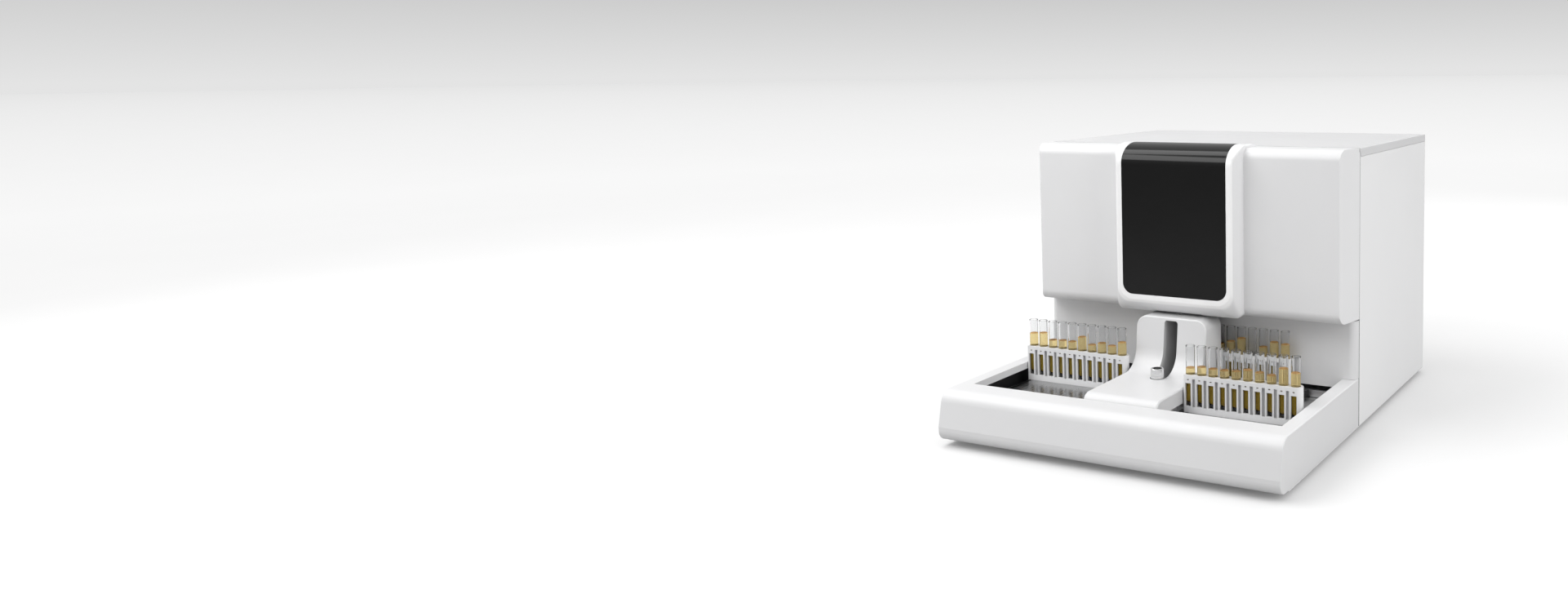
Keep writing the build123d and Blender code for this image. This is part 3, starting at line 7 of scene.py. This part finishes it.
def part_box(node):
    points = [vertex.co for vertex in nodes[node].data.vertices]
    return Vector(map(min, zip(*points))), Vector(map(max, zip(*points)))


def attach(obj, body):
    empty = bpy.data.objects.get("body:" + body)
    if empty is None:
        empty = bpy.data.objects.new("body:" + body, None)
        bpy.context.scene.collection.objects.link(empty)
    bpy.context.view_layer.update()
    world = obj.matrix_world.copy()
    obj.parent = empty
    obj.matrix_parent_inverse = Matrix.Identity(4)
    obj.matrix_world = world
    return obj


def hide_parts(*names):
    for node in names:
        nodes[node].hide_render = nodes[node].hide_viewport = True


# The looks of the bench-top urine sediment analyzer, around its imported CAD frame. All in metres.

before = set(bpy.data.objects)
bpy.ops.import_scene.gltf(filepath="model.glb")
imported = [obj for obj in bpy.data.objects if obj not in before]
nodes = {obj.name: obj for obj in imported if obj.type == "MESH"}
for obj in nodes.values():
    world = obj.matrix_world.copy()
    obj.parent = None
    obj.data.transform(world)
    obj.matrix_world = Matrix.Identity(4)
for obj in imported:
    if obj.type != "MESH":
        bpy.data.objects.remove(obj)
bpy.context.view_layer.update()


# Places that the painted masks and the tubes take from the frame

SIDE_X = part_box("right_side_panel")[1][0]
PANEL_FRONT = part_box("right_side_panel")[0][1]
TRAY_WALL_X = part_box("rack_tray")[1][0] - 0.0033
TRAY_LIP_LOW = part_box("rack_tray")[1][2] - 0.0120
LANE_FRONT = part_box("left_lane_floor")[0][1] - 0.0004
RACK_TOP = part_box("left_rack")[1][2]

# Relief of the finishes: each grain as a noise scale and its depth

SATIN_GRAIN, SATIN_DEPTH = 2600.0, 0.00002
PEEL_GRAIN, PEEL_DEPTH = 700.0, 0.00006
BRUSH_GRAIN, BRUSH_DEPTH = 900.0, 0.00003
RUBBER_GRAIN, RUBBER_DEPTH = 1500.0, 0.00008
EASED_EDGE = 0.0006
MOTTLE_SCALE = 7.0
WEAR_SCALE = 23.0
SKIN_IOR = 1.46

# Masks fade over these widths

FADE = 0.0003
SIDE_FADE = 0.0004
FRAME_FADE = 0.0014
AMBER_FADE = 0.0060

# Colours used more than once

WHITE = (0.745, 0.745, 0.75)
WHITE_LOW = (0.73, 0.73, 0.737)
JOINT_GREY = (0.16, 0.16, 0.165)
# Painted shade for the inner faces of the tray's side walls under their lips
TRAY_PAINTED_SHADE = (0.02, 0.02, 0.021)


# Node helpers

class Shader:
    """A node material built around one Principled shader."""

    def __init__(self, name):
        self.material = bpy.data.materials.new(name)
        self.material.use_nodes = True
        self.tree = self.material.node_tree
        self.bsdf = next(node for node in self.tree.nodes if node.type == "BSDF_PRINCIPLED")

    def add(self, kind, **settings):
        node = self.tree.nodes.new(kind)
        for key, value in settings.items():
            setattr(node, key, value)
        return node

    def link(self, source, target):
        self.tree.links.new(source, target)

    def value(self, **values):
        for key, value in values.items():
            self.bsdf.inputs[key.replace("_", " ")].default_value = value

    def colour(self, source):
        self.link(source, self.bsdf.inputs["Base Color"])

    def coords(self, stretch=(1, 1, 1)):
        """Object coordinates, stretched."""
        source = self.add("ShaderNodeTexCoord")
        mapping = self.add("ShaderNodeMapping")
        mapping.inputs["Scale"].default_value = stretch
        self.link(source.outputs["Object"], mapping.inputs["Vector"])
        return mapping.outputs["Vector"]

    def noise(self, scale, detail=3.0, rough=0.5, stretch=(1, 1, 1)):
        node = self.add("ShaderNodeTexNoise")
        node.inputs["Scale"].default_value = scale
        node.inputs["Detail"].default_value = detail
        node.inputs["Roughness"].default_value = rough
        self.link(self.coords(stretch), node.inputs["Vector"])
        return node.outputs["Fac"]

    def spread(self, source, low, high, start=0.3, end=0.7):
        """A value between start and end, where most of a noise lies, carried to low and high."""
        node = self.add("ShaderNodeMapRange")
        node.inputs["From Min"].default_value = start
        node.inputs["From Max"].default_value = end
        node.inputs["To Min"].default_value = low
        node.inputs["To Max"].default_value = high
        self.link(source, node.inputs["Value"])
        return node.outputs["Result"]

    def drift(self, source, low, high):
        """Roughness that drifts between two values with a noise."""
        self.link(self.spread(source, low, high), self.bsdf.inputs["Roughness"])

    def ramp(self, source, stops):
        node = self.add("ShaderNodeValToRGB")
        elements = node.color_ramp.elements
        while len(elements) < len(stops):
            elements.new(0.5)
        for element, (place, colour) in zip(elements, stops):
            element.position = place
            element.color = (*colour, 1)
        self.link(source, node.inputs["Fac"])
        return node.outputs["Color"]

    def two_tone(self, source, light, dark, start=0.3):
        """Two tones of one colour, in the patches of a noise."""
        return self.ramp(source, [(start, dark), (0.7, light)])

    def mixed(self, factor, low, high):
        """A colour from low at 0 to high at 1. Each is a fixed colour or a socket."""
        node = self.add("ShaderNodeMix", data_type="RGBA")
        self.link(factor, node.inputs[0])
        for socket, colour in ((node.inputs[6], low), (node.inputs[7], high)):
            if isinstance(colour, tuple):
                socket.default_value = (*colour, 1)
            else:
                self.link(colour, socket)
        return node.outputs[2]

    def along(self, axis, start, end, either_side=False):
        """0 to 1 as one object coordinate, or its size, goes from start to end."""
        parts = self.add("ShaderNodeSeparateXYZ")
        self.link(self.coords(), parts.inputs["Vector"])
        source = parts.outputs[axis]
        if either_side:
            size = self.add("ShaderNodeMath", operation="ABSOLUTE")
            self.link(source, size.inputs[0])
            source = size.outputs["Value"]
        return self.spread(source, 0.0, 1.0, start, end)

    def under(self, axis, limit, fade=FADE, either_side=False):
        """1 up to a limit, and 0 from a fade's width past it."""
        return self.along(axis, limit + fade, limit, either_side)

    def past(self, axis, limit, fade=FADE, either_side=False):
        """0 up to a limit, and 1 from a fade's width past it."""
        return self.along(axis, limit, limit + fade, either_side)

    def where_all(self, first, *others):
        """The product of several masks."""
        for other in others:
            both = self.add("ShaderNodeMath", operation="MULTIPLY")
            self.link(first, both.inputs[0])
            self.link(other, both.inputs[1])
            first = both.outputs["Value"]
        return first

    def bump(self, source, depth, strength, edge=0.0):
        """A fine relief, over edges eased by a radius where one is given."""
        node = self.add("ShaderNodeBump")
        node.inputs["Distance"].default_value = depth
        node.inputs["Strength"].default_value = strength
        self.link(source, node.inputs["Height"])
        if edge:
            eased = self.add("ShaderNodeBevel", samples=4)
            eased.inputs["Radius"].default_value = edge
            self.link(eased.outputs["Normal"], node.inputs["Normal"])
        self.link(node.outputs["Normal"], self.bsdf.inputs["Normal"])

    def satin(self, colour, rough, edge=0.0):
        """The skin of moulded plastic: a colour, a fine grain and roughness that drifts with wear."""
        self.colour(colour)
        self.drift(self.noise(WEAR_SCALE), rough - 0.04, rough + 0.05)
        self.bump(self.noise(SATIN_GRAIN, detail=2.0), SATIN_DEPTH, 0.5, edge)
        self.value(IOR=SKIN_IOR)
        return self.material


# Finishes

def mottled(made, light, dark):
    """The faint mottling of moulded plastic."""
    return made.two_tone(made.noise(MOTTLE_SCALE, detail=4.0), light, dark)


def moulded(name, light, dark, rough, edge=0.0, painted_shade_reach=0.0, shade=0.72):
    """Moulded plastic. Painted shade takes it to a share of its colour where other faces stand within a given
    reach.
    """
    made = Shader(name)
    colour = mottled(made, light, dark)
    if painted_shade_reach:
        # Painted shade: an occlusion mask darkens the colour near other faces
        open_sky = made.add("ShaderNodeAmbientOcclusion", samples=6)
        open_sky.inputs["Distance"].default_value = painted_shade_reach
        shaded = tuple(value * shade for value in light)
        lit = made.spread(open_sky.outputs["AO"], 0.0, 1.0, start=0.15, end=0.75)
        colour = made.mixed(lit, shaded, colour)
    return made.satin(colour, rough, edge)


def cover_plastic(name, light, dark, painted_frame_highlight, frame_depth, rough):
    """The front cover's satin white, with a painted highlight: a brighter white on the frame that stands
    proud round the window.
    """
    node = nodes["front_cover"]
    face = (node.matrix_world.inverted() @ Vector(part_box("front_cover")[0])).y
    made = Shader(name)
    # Painted highlight on the frame's face round the window
    painted_highlight_zone = made.under("Y", face + frame_depth, FRAME_FADE)
    return made.satin(made.mixed(painted_highlight_zone, mottled(made, light, dark), painted_frame_highlight), rough)


def tray_plastic(name, light, dark, painted_lip_shade, rough):
    """The tray's satin white, with painted shade: near black on the inner faces of its side walls under their
    lips.
    """
    made = Shader(name)
    # Painted shade under the side walls' lips, behind the lanes' front
    shaded_under_lips = made.where_all(made.under("X", TRAY_WALL_X, SIDE_FADE, either_side=True),
                            made.past("Y", LANE_FRONT),
                            made.under("Z", TRAY_LIP_LOW))
    return made.satin(made.mixed(shaded_under_lips, mottled(made, light, dark), painted_lip_shade), rough)


def painted(name, light, dark, rough, joint=None):
    """Powder-painted sheet with a soft orange-peel skin. Its front edge is dark where it ends at a joint."""
    made = Shader(name)
    skin = made.two_tone(made.noise(5.0), light, dark)
    if joint is not None:
        edge = made.where_all(made.under("Y", joint + 0.0006),
                              made.past("X", SIDE_X - 0.0040, SIDE_FADE, either_side=True))
        skin = made.mixed(edge, skin, JOINT_GREY)
    made.colour(skin)
    made.drift(made.noise(14.0), rough - 0.05, rough + 0.05)
    made.bump(made.noise(PEEL_GRAIN, detail=2.0, rough=0.6), PEEL_DEPTH, 0.35, EASED_EDGE)
    made.value(IOR=SKIN_IOR)
    return made.material


def brushed(name, light, dark, rough, stretch):
    """Brushed metal with fine lines, long in the direction with the smallest stretch."""
    made = Shader(name)
    lines = made.noise(BRUSH_GRAIN, detail=4.0, rough=0.65, stretch=stretch)
    made.colour(made.two_tone(lines, light, dark))
    made.drift(lines, rough - 0.06, rough + 0.09)
    made.bump(lines, BRUSH_DEPTH, 0.4)
    made.value(Metallic=1.0)
    return made.material


def black_panel(name, light, dark):
    """The black front panel: deep gloss, with the faintest wipe marks."""
    made = Shader(name)
    made.colour(made.two_tone(made.noise(9.0, detail=5.0), light, dark, start=0.35))
    wipes = made.noise(16.0, detail=5.0, rough=0.6, stretch=(1.0, 1.0, 3.5))
    made.drift(wipes, 0.11, 0.16)
    made.value(IOR=1.35)
    return made.material


def clear_plastic(name, colour, index):
    """Clear plastic or glass with fine drawing lines."""
    made = Shader(name)
    made.drift(made.noise(300.0, detail=2.0, stretch=(1, 1, 0.05)), 0.0, 0.03)
    clearer = tuple(min(1, value * 1.02) for value in colour)
    made.colour(made.two_tone(made.noise(40.0, detail=2.0), clearer, colour))
    made.value(Transmission_Weight=1.0, IOR=index)
    return made.material


def liquid(name, light, dark, deep, clear):
    """Urine: amber and a little cloudy, with painted shade below the racks' top, where its amber is darker
    and deeper.
    """
    made = Shader(name)
    cloud = made.noise(55.0, detail=4.0, rough=0.6, stretch=(1, 1, 0.5))
    # Painted shade: below the racks' top, where the racks shade it, the amber goes darker and deeper
    rack_shade = made.under("Z", RACK_TOP - AMBER_FADE, AMBER_FADE)
    made.colour(made.mixed(rack_shade, made.two_tone(cloud, light, dark), deep))
    made.drift(cloud, 0.05, 0.12)
    made.value(Transmission_Weight=clear, IOR=1.15)
    return made.material


def rubbery(name, light, dark):
    """Dull rubber with a coarse grain."""
    made = Shader(name)
    made.colour(made.two_tone(made.noise(60.0, detail=4.0), light, dark))
    made.bump(made.noise(RUBBER_GRAIN, detail=2.0), RUBBER_DEPTH, 0.6)
    made.value(Roughness=0.8)
    return made.material


MATERIALS = {
    "white_plastic": moulded("white_satin_plastic", WHITE, WHITE_LOW, rough=0.36),
    # A brighter copy of the satin white, as painted light on the front cover, with a painted highlight on its
    # frame
    "cover_plastic": cover_plastic("white_cover_plastic", (0.80, 0.80, 0.805), (0.785, 0.785, 0.792),
                                   painted_frame_highlight=(0.96, 0.96, 0.96), frame_depth=0.0012, rough=0.36),
    # Painted shade on the bridge cover where other faces stand close, as under the front cover
    "bridge_plastic": moulded("white_bridge_plastic", WHITE, WHITE_LOW, rough=0.36,
                              painted_shade_reach=0.045, shade=0.58),
    # Near black painted shade under the lips of the tray's side walls
    "tray_plastic": tray_plastic("white_tray_plastic", WHITE, WHITE_LOW, TRAY_PAINTED_SHADE, rough=0.36),
    # Painted shade in the racks' crevices, such as the slots between their windows
    "rack_plastic": moulded("white_rack_plastic", (0.85, 0.85, 0.855), (0.83, 0.83, 0.838), rough=0.40,
                            edge=EASED_EDGE, painted_shade_reach=0.009),
    "painted_sheet": painted("white_painted_sheet", (0.83, 0.83, 0.835), (0.815, 0.815, 0.822), rough=0.42),
    # A brighter copy of the painted sheet, as painted light on the side panels
    "painted_side": painted("white_painted_side", (0.87, 0.87, 0.873), (0.855, 0.855, 0.86), rough=0.42,
                            joint=PANEL_FRONT),
    # A darker copy of the painted sheet, as painted shade on the top cover
    "painted_top": painted("white_painted_top", (0.69, 0.69, 0.695), (0.68, 0.68, 0.686), rough=0.42),
    "black_panel": black_panel("black_panel_gloss", (0.006, 0.006, 0.006), (0.0045, 0.0045, 0.0045)),
    "black_plastic": moulded("black_satin_plastic", (0.022, 0.022, 0.023), (0.016, 0.016, 0.017), rough=0.45),
    "grey_plastic": moulded("grey_satin_plastic", (0.33, 0.34, 0.35), (0.29, 0.30, 0.31), rough=0.45),
    "tube_tip": moulded("grey_tube_tip", (0.10, 0.10, 0.10), (0.05, 0.05, 0.05), rough=0.18),
    "floor_steel": brushed("brushed_floor_steel", (0.54, 0.54, 0.545), (0.43, 0.43, 0.435), rough=0.24,
                           stretch=(1.0, 0.02, 1.0)),
    "channel_steel": brushed("brushed_channel_steel", (0.56, 0.56, 0.56), (0.44, 0.44, 0.445), rough=0.28,
                             stretch=(0.02, 1.0, 1.0)),
    "aluminium": brushed("milled_aluminium", (0.72, 0.72, 0.73), (0.60, 0.60, 0.61), rough=0.34,
                         stretch=(0.05, 1.0, 1.0)),
    "silver": brushed("turned_silver", (0.80, 0.80, 0.80), (0.68, 0.68, 0.685), rough=0.22,
                      stretch=(0.05, 0.05, 1.0)),
    "clear_tube": clear_plastic("clear_tube_plastic", (0.915, 0.918, 0.92), index=1.22),
    "wet_tube": clear_plastic("wet_tube_plastic", (0.99, 0.985, 0.98), index=1.12),
    "glass": clear_plastic("clear_glass", (0.96, 0.98, 0.98), index=1.45),
    # The deep colour is painted shade on the urine below the racks' top
    "urine": liquid("urine_amber", (1.0, 0.84, 0.45), (0.99, 0.79, 0.38), deep=(1.0, 0.71, 0.12),
                    clear=0.76),
    "urine_edge": liquid("urine_meniscus", (0.90, 0.52, 0.18), (0.84, 0.44, 0.13), deep=(0.84, 0.44, 0.13),
                         clear=0.35),
    "rubber": rubbery("black_rubber", (0.035, 0.035, 0.036), (0.018, 0.018, 0.018)),
}
DEFAULT_FINISH = "white_plastic"
FINISHED = {
    "cover_plastic": ("front_cover",),
    "bridge_plastic": ("bridge_cover",),
    "tray_plastic": ("rack_tray",),
    "rack_plastic": ("left_rack", "right_rack", "middle_rack"),
    "painted_sheet": ("base_plate", "bulkhead", "bridge_stands", "rear_panel"),
    "painted_side": ("left_side_panel", "right_side_panel"),
    "painted_top": ("top_cover",),
    "black_panel": ("front_window",),
    "black_plastic": ("catch_magnets", "cross_shuttle", "tube_holder", "optics_camera", "power_inlet",
                      "switch_frame", "power_rocker", "fan_frame", "fan_rotor"),
    "grey_plastic": ("pump_body", "optics_lamp"),
    "floor_steel": ("left_lane_floor", "right_lane_floor"),
    "channel_steel": ("shuttle_rails", "channel_floor", "cross_shuttle_rail", "holder_rail", "lift_rail",
                      "probe_needle"),
    "aluminium": ("hinge_fixed_leaves", "hinge_moving_leaves", "hinge_pins", "catch_plates", "left_shuttle",
                  "right_shuttle", "channel_guide", "screws", "probe_beam", "probe_carriage", "probe_holder",
                  "pump_plunger", "optics_base"),
    "silver": ("tube_collar", "optics_objective"),
    "clear_tube": ("left_tubes", "right_tubes", "middle_tubes", "sampled_tube"),
    "glass": ("pump_barrel", "flow_cell"),
    "urine": ("left_samples", "right_samples", "middle_samples"),
    "rubber": ("feet",),
}
FINISH_OF = {piece: finish for finish, pieces in FINISHED.items() for piece in pieces}
for name, node in nodes.items():
    material = MATERIALS[FINISH_OF.get(name, DEFAULT_FINISH)]
    if node.material_slots:
        for slot in node.material_slots:
            slot.material = material
    else:
        node.data.materials.append(material)


# Tubes and urine: smooth turned pieces in the places of their faceted CAD nodes

PITCH = 0.020
TUBE_R = 0.0075
TUBE_TOP = 0.100
BORE_R = 0.0065
LIQUID_R = BORE_R + 0.0004
CONE = 0.012
TIP_R = 0.003
TIP_WALL = 0.0012
TIP_SHARE = 0.62
TIP_TOP = CONE * TIP_SHARE
TIP_TOP_R = TIP_R + (TUBE_R - TIP_R) * TIP_SHARE
SIDES = 36
SHARP_ANGLE = math.radians(38)

# Heights of the urine above the tubes' ends, from the first place of each rack
LEFT_FILLS = (0.076, 0.078, 0.067, 0.068, 0.068, 0.078, 0.066, 0.071, 0.068, 0.076)
RIGHT_FILLS = (0.064, 0.067, 0.066, 0.066, 0.067, 0.071, 0.069, 0.067, 0.080, 0.075)
MIDDLE_FILLS = (0.066, 0.072, 0.068, 0.074, 0.081, 0.041, 0.070, 0.080, 0.078)
NO_FILL = CONE + 0.002

# A profile's third number says which of these finishes follows its point
TUBE_FINISHES = ("clear_tube", "tube_tip", "wet_tube")
DRY, TIP, WET = 0, 1, 2
URINE_FINISHES = ("urine", "urine_edge")
AMBER, EDGE = 0, 1


def turned(name, rounds, finishes, body, node):
    """Turned pieces in one mesh. A round is a place and a profile of (radius, height, finish)."""
    made = bmesh.new()
    for (x, y, z), profile in rounds:
        rings = []
        for radius, height, _ in profile:
            turns = [math.tau * k / SIDES for k in range(SIDES)] if radius else [0.0]
            ring = [(x + radius * math.cos(turn), y + radius * math.sin(turn), z + height) for turn in turns]
            rings.append([made.verts.new(point) for point in ring])
        for low, high, (_, _, finish) in zip(rings, rings[1:], profile):
            for k in range(SIDES):
                after = k + 1
                corners = (low[k % len(low)], low[after % len(low)],
                           high[after % len(high)], high[k % len(high)])
                face = made.faces.new(list(dict.fromkeys(corners)))
                face.smooth = True
                face.material_index = finish
    bmesh.ops.recalc_face_normals(made, faces=made.faces)
    mesh = bpy.data.meshes.new(name)
    made.to_mesh(mesh)
    made.free()
    mesh.set_sharp_from_angle(angle=SHARP_ANGLE)
    for finish in finishes:
        mesh.materials.append(MATERIALS[finish])
    piece = bpy.data.objects.new(name, mesh)
    bpy.context.scene.collection.objects.link(piece)
    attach(piece, body)
    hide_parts(node)


def tube_profile(fill):
    """A clear tube with a dark tip and a rounded rim. Its wall is wet up to the fill and dry above it."""
    tip = [(0.0, 0.0, TIP), (TIP_R * 0.8, 0.0002, TIP), (TIP_R, 0.0010, TIP), (TIP_TOP_R, TIP_TOP, WET)]
    outside = [(TUBE_R - 0.0003, CONE, WET), (TUBE_R, CONE + 0.0012, WET), (TUBE_R, fill, DRY)]
    rim = [(TUBE_R, TUBE_TOP - 0.0020, DRY), (TUBE_R + 0.0004, TUBE_TOP - 0.0010, DRY),
           (TUBE_R, TUBE_TOP - 0.0002, DRY), (TUBE_R - 0.0003, TUBE_TOP, DRY),
           (BORE_R + 0.0002, TUBE_TOP, DRY), (BORE_R, TUBE_TOP - 0.0004, DRY)]
    bore = [(BORE_R, fill, WET), (BORE_R, CONE + 0.0008, WET), (TIP_TOP_R - TIP_WALL, TIP_TOP, TIP),
            (TIP_R - TIP_WALL, 0.0020, TIP), (0.0, 0.0016, TIP)]
    return tip + outside + rim + bore


def urine_profile(fill):
    """Urine up to its level, with the curved edge where it climbs the wall."""
    low = TIP_TOP + 0.0004
    below = [(0.0, low, AMBER), (TIP_R, low, AMBER), (LIQUID_R - 0.0012, CONE - 0.0022, AMBER),
             (LIQUID_R, CONE + 0.0010, AMBER)]
    edge = [(LIQUID_R, fill - 0.0007, EDGE), (LIQUID_R, fill, EDGE), (LIQUID_R - 0.0007, fill - 0.0004, EDGE),
            (LIQUID_R - 0.0022, fill - 0.0009, EDGE), (0.0, fill - 0.0010, EDGE)]
    return below + edge


def places(node, count):
    """The tubes' places along a rack, from the box of their CAD node."""
    low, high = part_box(node)
    middle = (low[0] + high[0]) / 2
    return [(middle + (k - (count - 1) / 2) * PITCH, (low[1] + high[1]) / 2, low[2]) for k in range(count)]


def rack_load(side, body, fills):
    """A row of tubes and the urine in them."""
    row = list(zip(places(f"{side}_tubes", len(fills)), fills))
    turned(f"{side}_clear_tubes", [(spot, tube_profile(fill)) for spot, fill in row], TUBE_FINISHES,
           body, f"{side}_tubes")
    turned(f"{side}_urine", [(spot, urine_profile(fill)) for spot, fill in row], URINE_FINISHES,
           body, f"{side}_samples")


rack_load("left", "left_rack_drive", LEFT_FILLS)
rack_load("right", "right_rack_drive", RIGHT_FILLS)
rack_load("middle", "cross_drive", MIDDLE_FILLS)
turned("sampled_clear_tube", [(places("sampled_tube", 1)[0], tube_profile(NO_FILL))], TUBE_FINISHES,
       "cross_drive", "sampled_tube")


# Stage: a pale floor that greys slowly with distance, and a soft sky above it

FLOOR_HALF = 90.0
FLOOR_LIT = (0.50, 0.50, 0.50)
FLOOR_SEEN = (0.71, 0.71, 0.71)
FLOOR_SEEN_LOW = (0.70, 0.70, 0.70)

# The floor's own light with distance, as on a white sweep in a studio. Places run from 0 to 1 as the
# distance goes from 10 to the power of GLOW_NEAR to 10 to the power of GLOW_FAR metres.
GLOW = ((0.0, 0.10), (0.167, 0.22), (0.33, 0.35), (0.49, 0.41), (0.74, 0.33), (1.0, 0.26))
GLOW_NEAR, GLOW_FAR = -0.4, 2.0

# Each sky is a strength at the horizon, one higher up, and the height of the direction where it is reached
LIT_DOME = (0.43, 0.90, 1.0)
SEEN_SKY = (0.775, 0.59, 0.07)

# The camera fitted to the photograph: yaw, pitch and roll in radians, lens and sensor in millimetres
CAMERA_PLACE = (0.8597, -1.8259, 0.6056)
CAMERA_TURN = (0.4593, -0.10, -0.0109)
LENS = 26.0249
SENSOR = 36.0
SHIFT_X, SHIFT_Y = -0.2552, -0.0774

# Each lamp's place, target, width and height, and power in watts
LAMPS = {
    "front_high": ((-1.0, -1.35, 1.75), (0, -0.15, 0.2), (1.4, 1.0), 16.5),
    "overhead": ((-1.1, -0.25, 2.2), (-0.1, 0, 0.3), (0.9, 1.2), 11.0),
    "left": ((-2.4, -0.8, 1.6), (0, -0.1, 0.25), (1.6, 1.6), 8.0),
    "back": ((0.8, 2.6, 1.7), (0, 0.2, 0.3), (1.6, 1.6), 12.0),
    "right": ((2.6, -0.6, 1.3), (0.2, 0, 0.25), (1.4, 1.8), 26.0),
}


def seen_rays(tree):
    """1 for what the camera sees, straight or through clear pieces, and 0 for bounced light and gloss."""
    path = tree.nodes.new("ShaderNodeLightPath")
    either = tree.nodes.new("ShaderNodeMath")
    either.operation = "MAXIMUM"
    tree.links.new(path.outputs["Is Camera Ray"], either.inputs[0])
    tree.links.new(path.outputs["Is Transmission Ray"], either.inputs[1])
    return either.outputs["Value"]


def floor():
    """A wide floor, paler where it is seen than where it lights the object."""
    half = FLOOR_HALF
    mesh = bpy.data.meshes.new("floor")
    corners = [(-half, -half, 0), (half, -half, 0), (half, half, 0), (-half, half, 0)]
    mesh.from_pydata(corners, [], [(0, 1, 2, 3)])
    piece = bpy.data.objects.new("floor", mesh)
    bpy.context.scene.collection.objects.link(piece)
    made = Shader("pale_floor")
    length = made.add("ShaderNodeVectorMath", operation="LENGTH")
    made.link(made.coords(), length.inputs[0])
    tens = made.add("ShaderNodeMath", operation="LOGARITHM")
    tens.inputs[1].default_value = 10.0
    made.link(length.outputs["Value"], tens.inputs[0])
    away = made.spread(tens.outputs["Value"], 0.0, 1.0, GLOW_NEAR, GLOW_FAR)
    glow = made.ramp(away, [(place, (value, value, value)) for place, value in GLOW])
    made.link(glow, made.bsdf.inputs["Emission Color"])
    looked_at = seen_rays(made.tree)
    made.link(looked_at, made.bsdf.inputs["Emission Strength"])
    seen = made.two_tone(made.noise(3.0), FLOOR_SEEN, FLOOR_SEEN_LOW)
    made.colour(made.mixed(looked_at, FLOOR_LIT, seen))
    made.value(Roughness=0.9, Specular_IOR_Level=0.0)
    mesh.materials.append(made.material)


def sky():
    """A soft grey dome, brighter overhead. The camera sees a paler gradient just above the horizon."""
    world = bpy.data.worlds.new("sky")
    bpy.context.scene.world = world
    world.use_nodes = True
    tree = world.node_tree
    tree.nodes.clear()
    out = tree.nodes.new("ShaderNodeOutputWorld")
    seen = tree.nodes.new("ShaderNodeBackground")
    lit = tree.nodes.new("ShaderNodeBackground")
    mix = tree.nodes.new("ShaderNodeMixShader")
    coords = tree.nodes.new("ShaderNodeTexCoord")
    parts = tree.nodes.new("ShaderNodeSeparateXYZ")
    tree.links.new(coords.outputs["Generated"], parts.inputs["Vector"])
    for target, (horizon, higher, height) in ((lit, LIT_DOME), (seen, SEEN_SKY)):
        rise = tree.nodes.new("ShaderNodeMapRange")
        rise.inputs["From Max"].default_value = height
        rise.inputs["To Min"].default_value = horizon
        rise.inputs["To Max"].default_value = higher
        tree.links.new(parts.outputs["Z"], rise.inputs["Value"])
        tree.links.new(rise.outputs["Result"], target.inputs["Strength"])
        target.inputs["Color"].default_value = (1.0, 1.0, 1.0, 1)
    tree.links.new(seen_rays(tree), mix.inputs["Fac"])
    tree.links.new(lit.outputs["Background"], mix.inputs[1])
    tree.links.new(seen.outputs["Background"], mix.inputs[2])
    tree.links.new(mix.outputs["Shader"], out.inputs["Surface"])


def lamp(name, place, target, size, power):
    """A rectangular softbox that faces its target."""
    data = bpy.data.lights.new(name, "AREA")
    data.shape = "RECTANGLE"
    data.size, data.size_y = size
    data.energy = power
    piece = bpy.data.objects.new(name, data)
    piece.location = place
    piece.rotation_euler = (Vector(target) - Vector(place)).to_track_quat("-Z", "Y").to_euler()
    bpy.context.scene.collection.objects.link(piece)


def camera():
    """The photograph's camera, in front of the machine and to its right."""
    yaw, pitch, roll = CAMERA_TURN
    forward = Vector((-math.sin(yaw) * math.cos(pitch), math.cos(yaw) * math.cos(pitch), math.sin(pitch)))
    right = Vector((math.cos(yaw), math.sin(yaw), 0))
    up = right.cross(forward)
    side = right * math.cos(roll) + up * math.sin(roll)
    top = up * math.cos(roll) - right * math.sin(roll)
    data = bpy.data.cameras.new("camera")
    data.lens = LENS
    data.sensor_width = SENSOR
    data.shift_x = SHIFT_X
    data.shift_y = SHIFT_Y
    piece = bpy.data.objects.new("camera", data)
    turn = Matrix((side, top, -forward)).transposed().to_4x4()
    piece.matrix_world = Matrix.Translation(CAMERA_PLACE) @ turn
    bpy.context.scene.collection.objects.link(piece)
    bpy.context.scene.camera = piece


floor()
sky()
camera()
for name, (place, target, size, power) in LAMPS.items():
    lamp(name, place, target, size, power)
bpy.context.scene.view_settings.view_transform = "Standard"
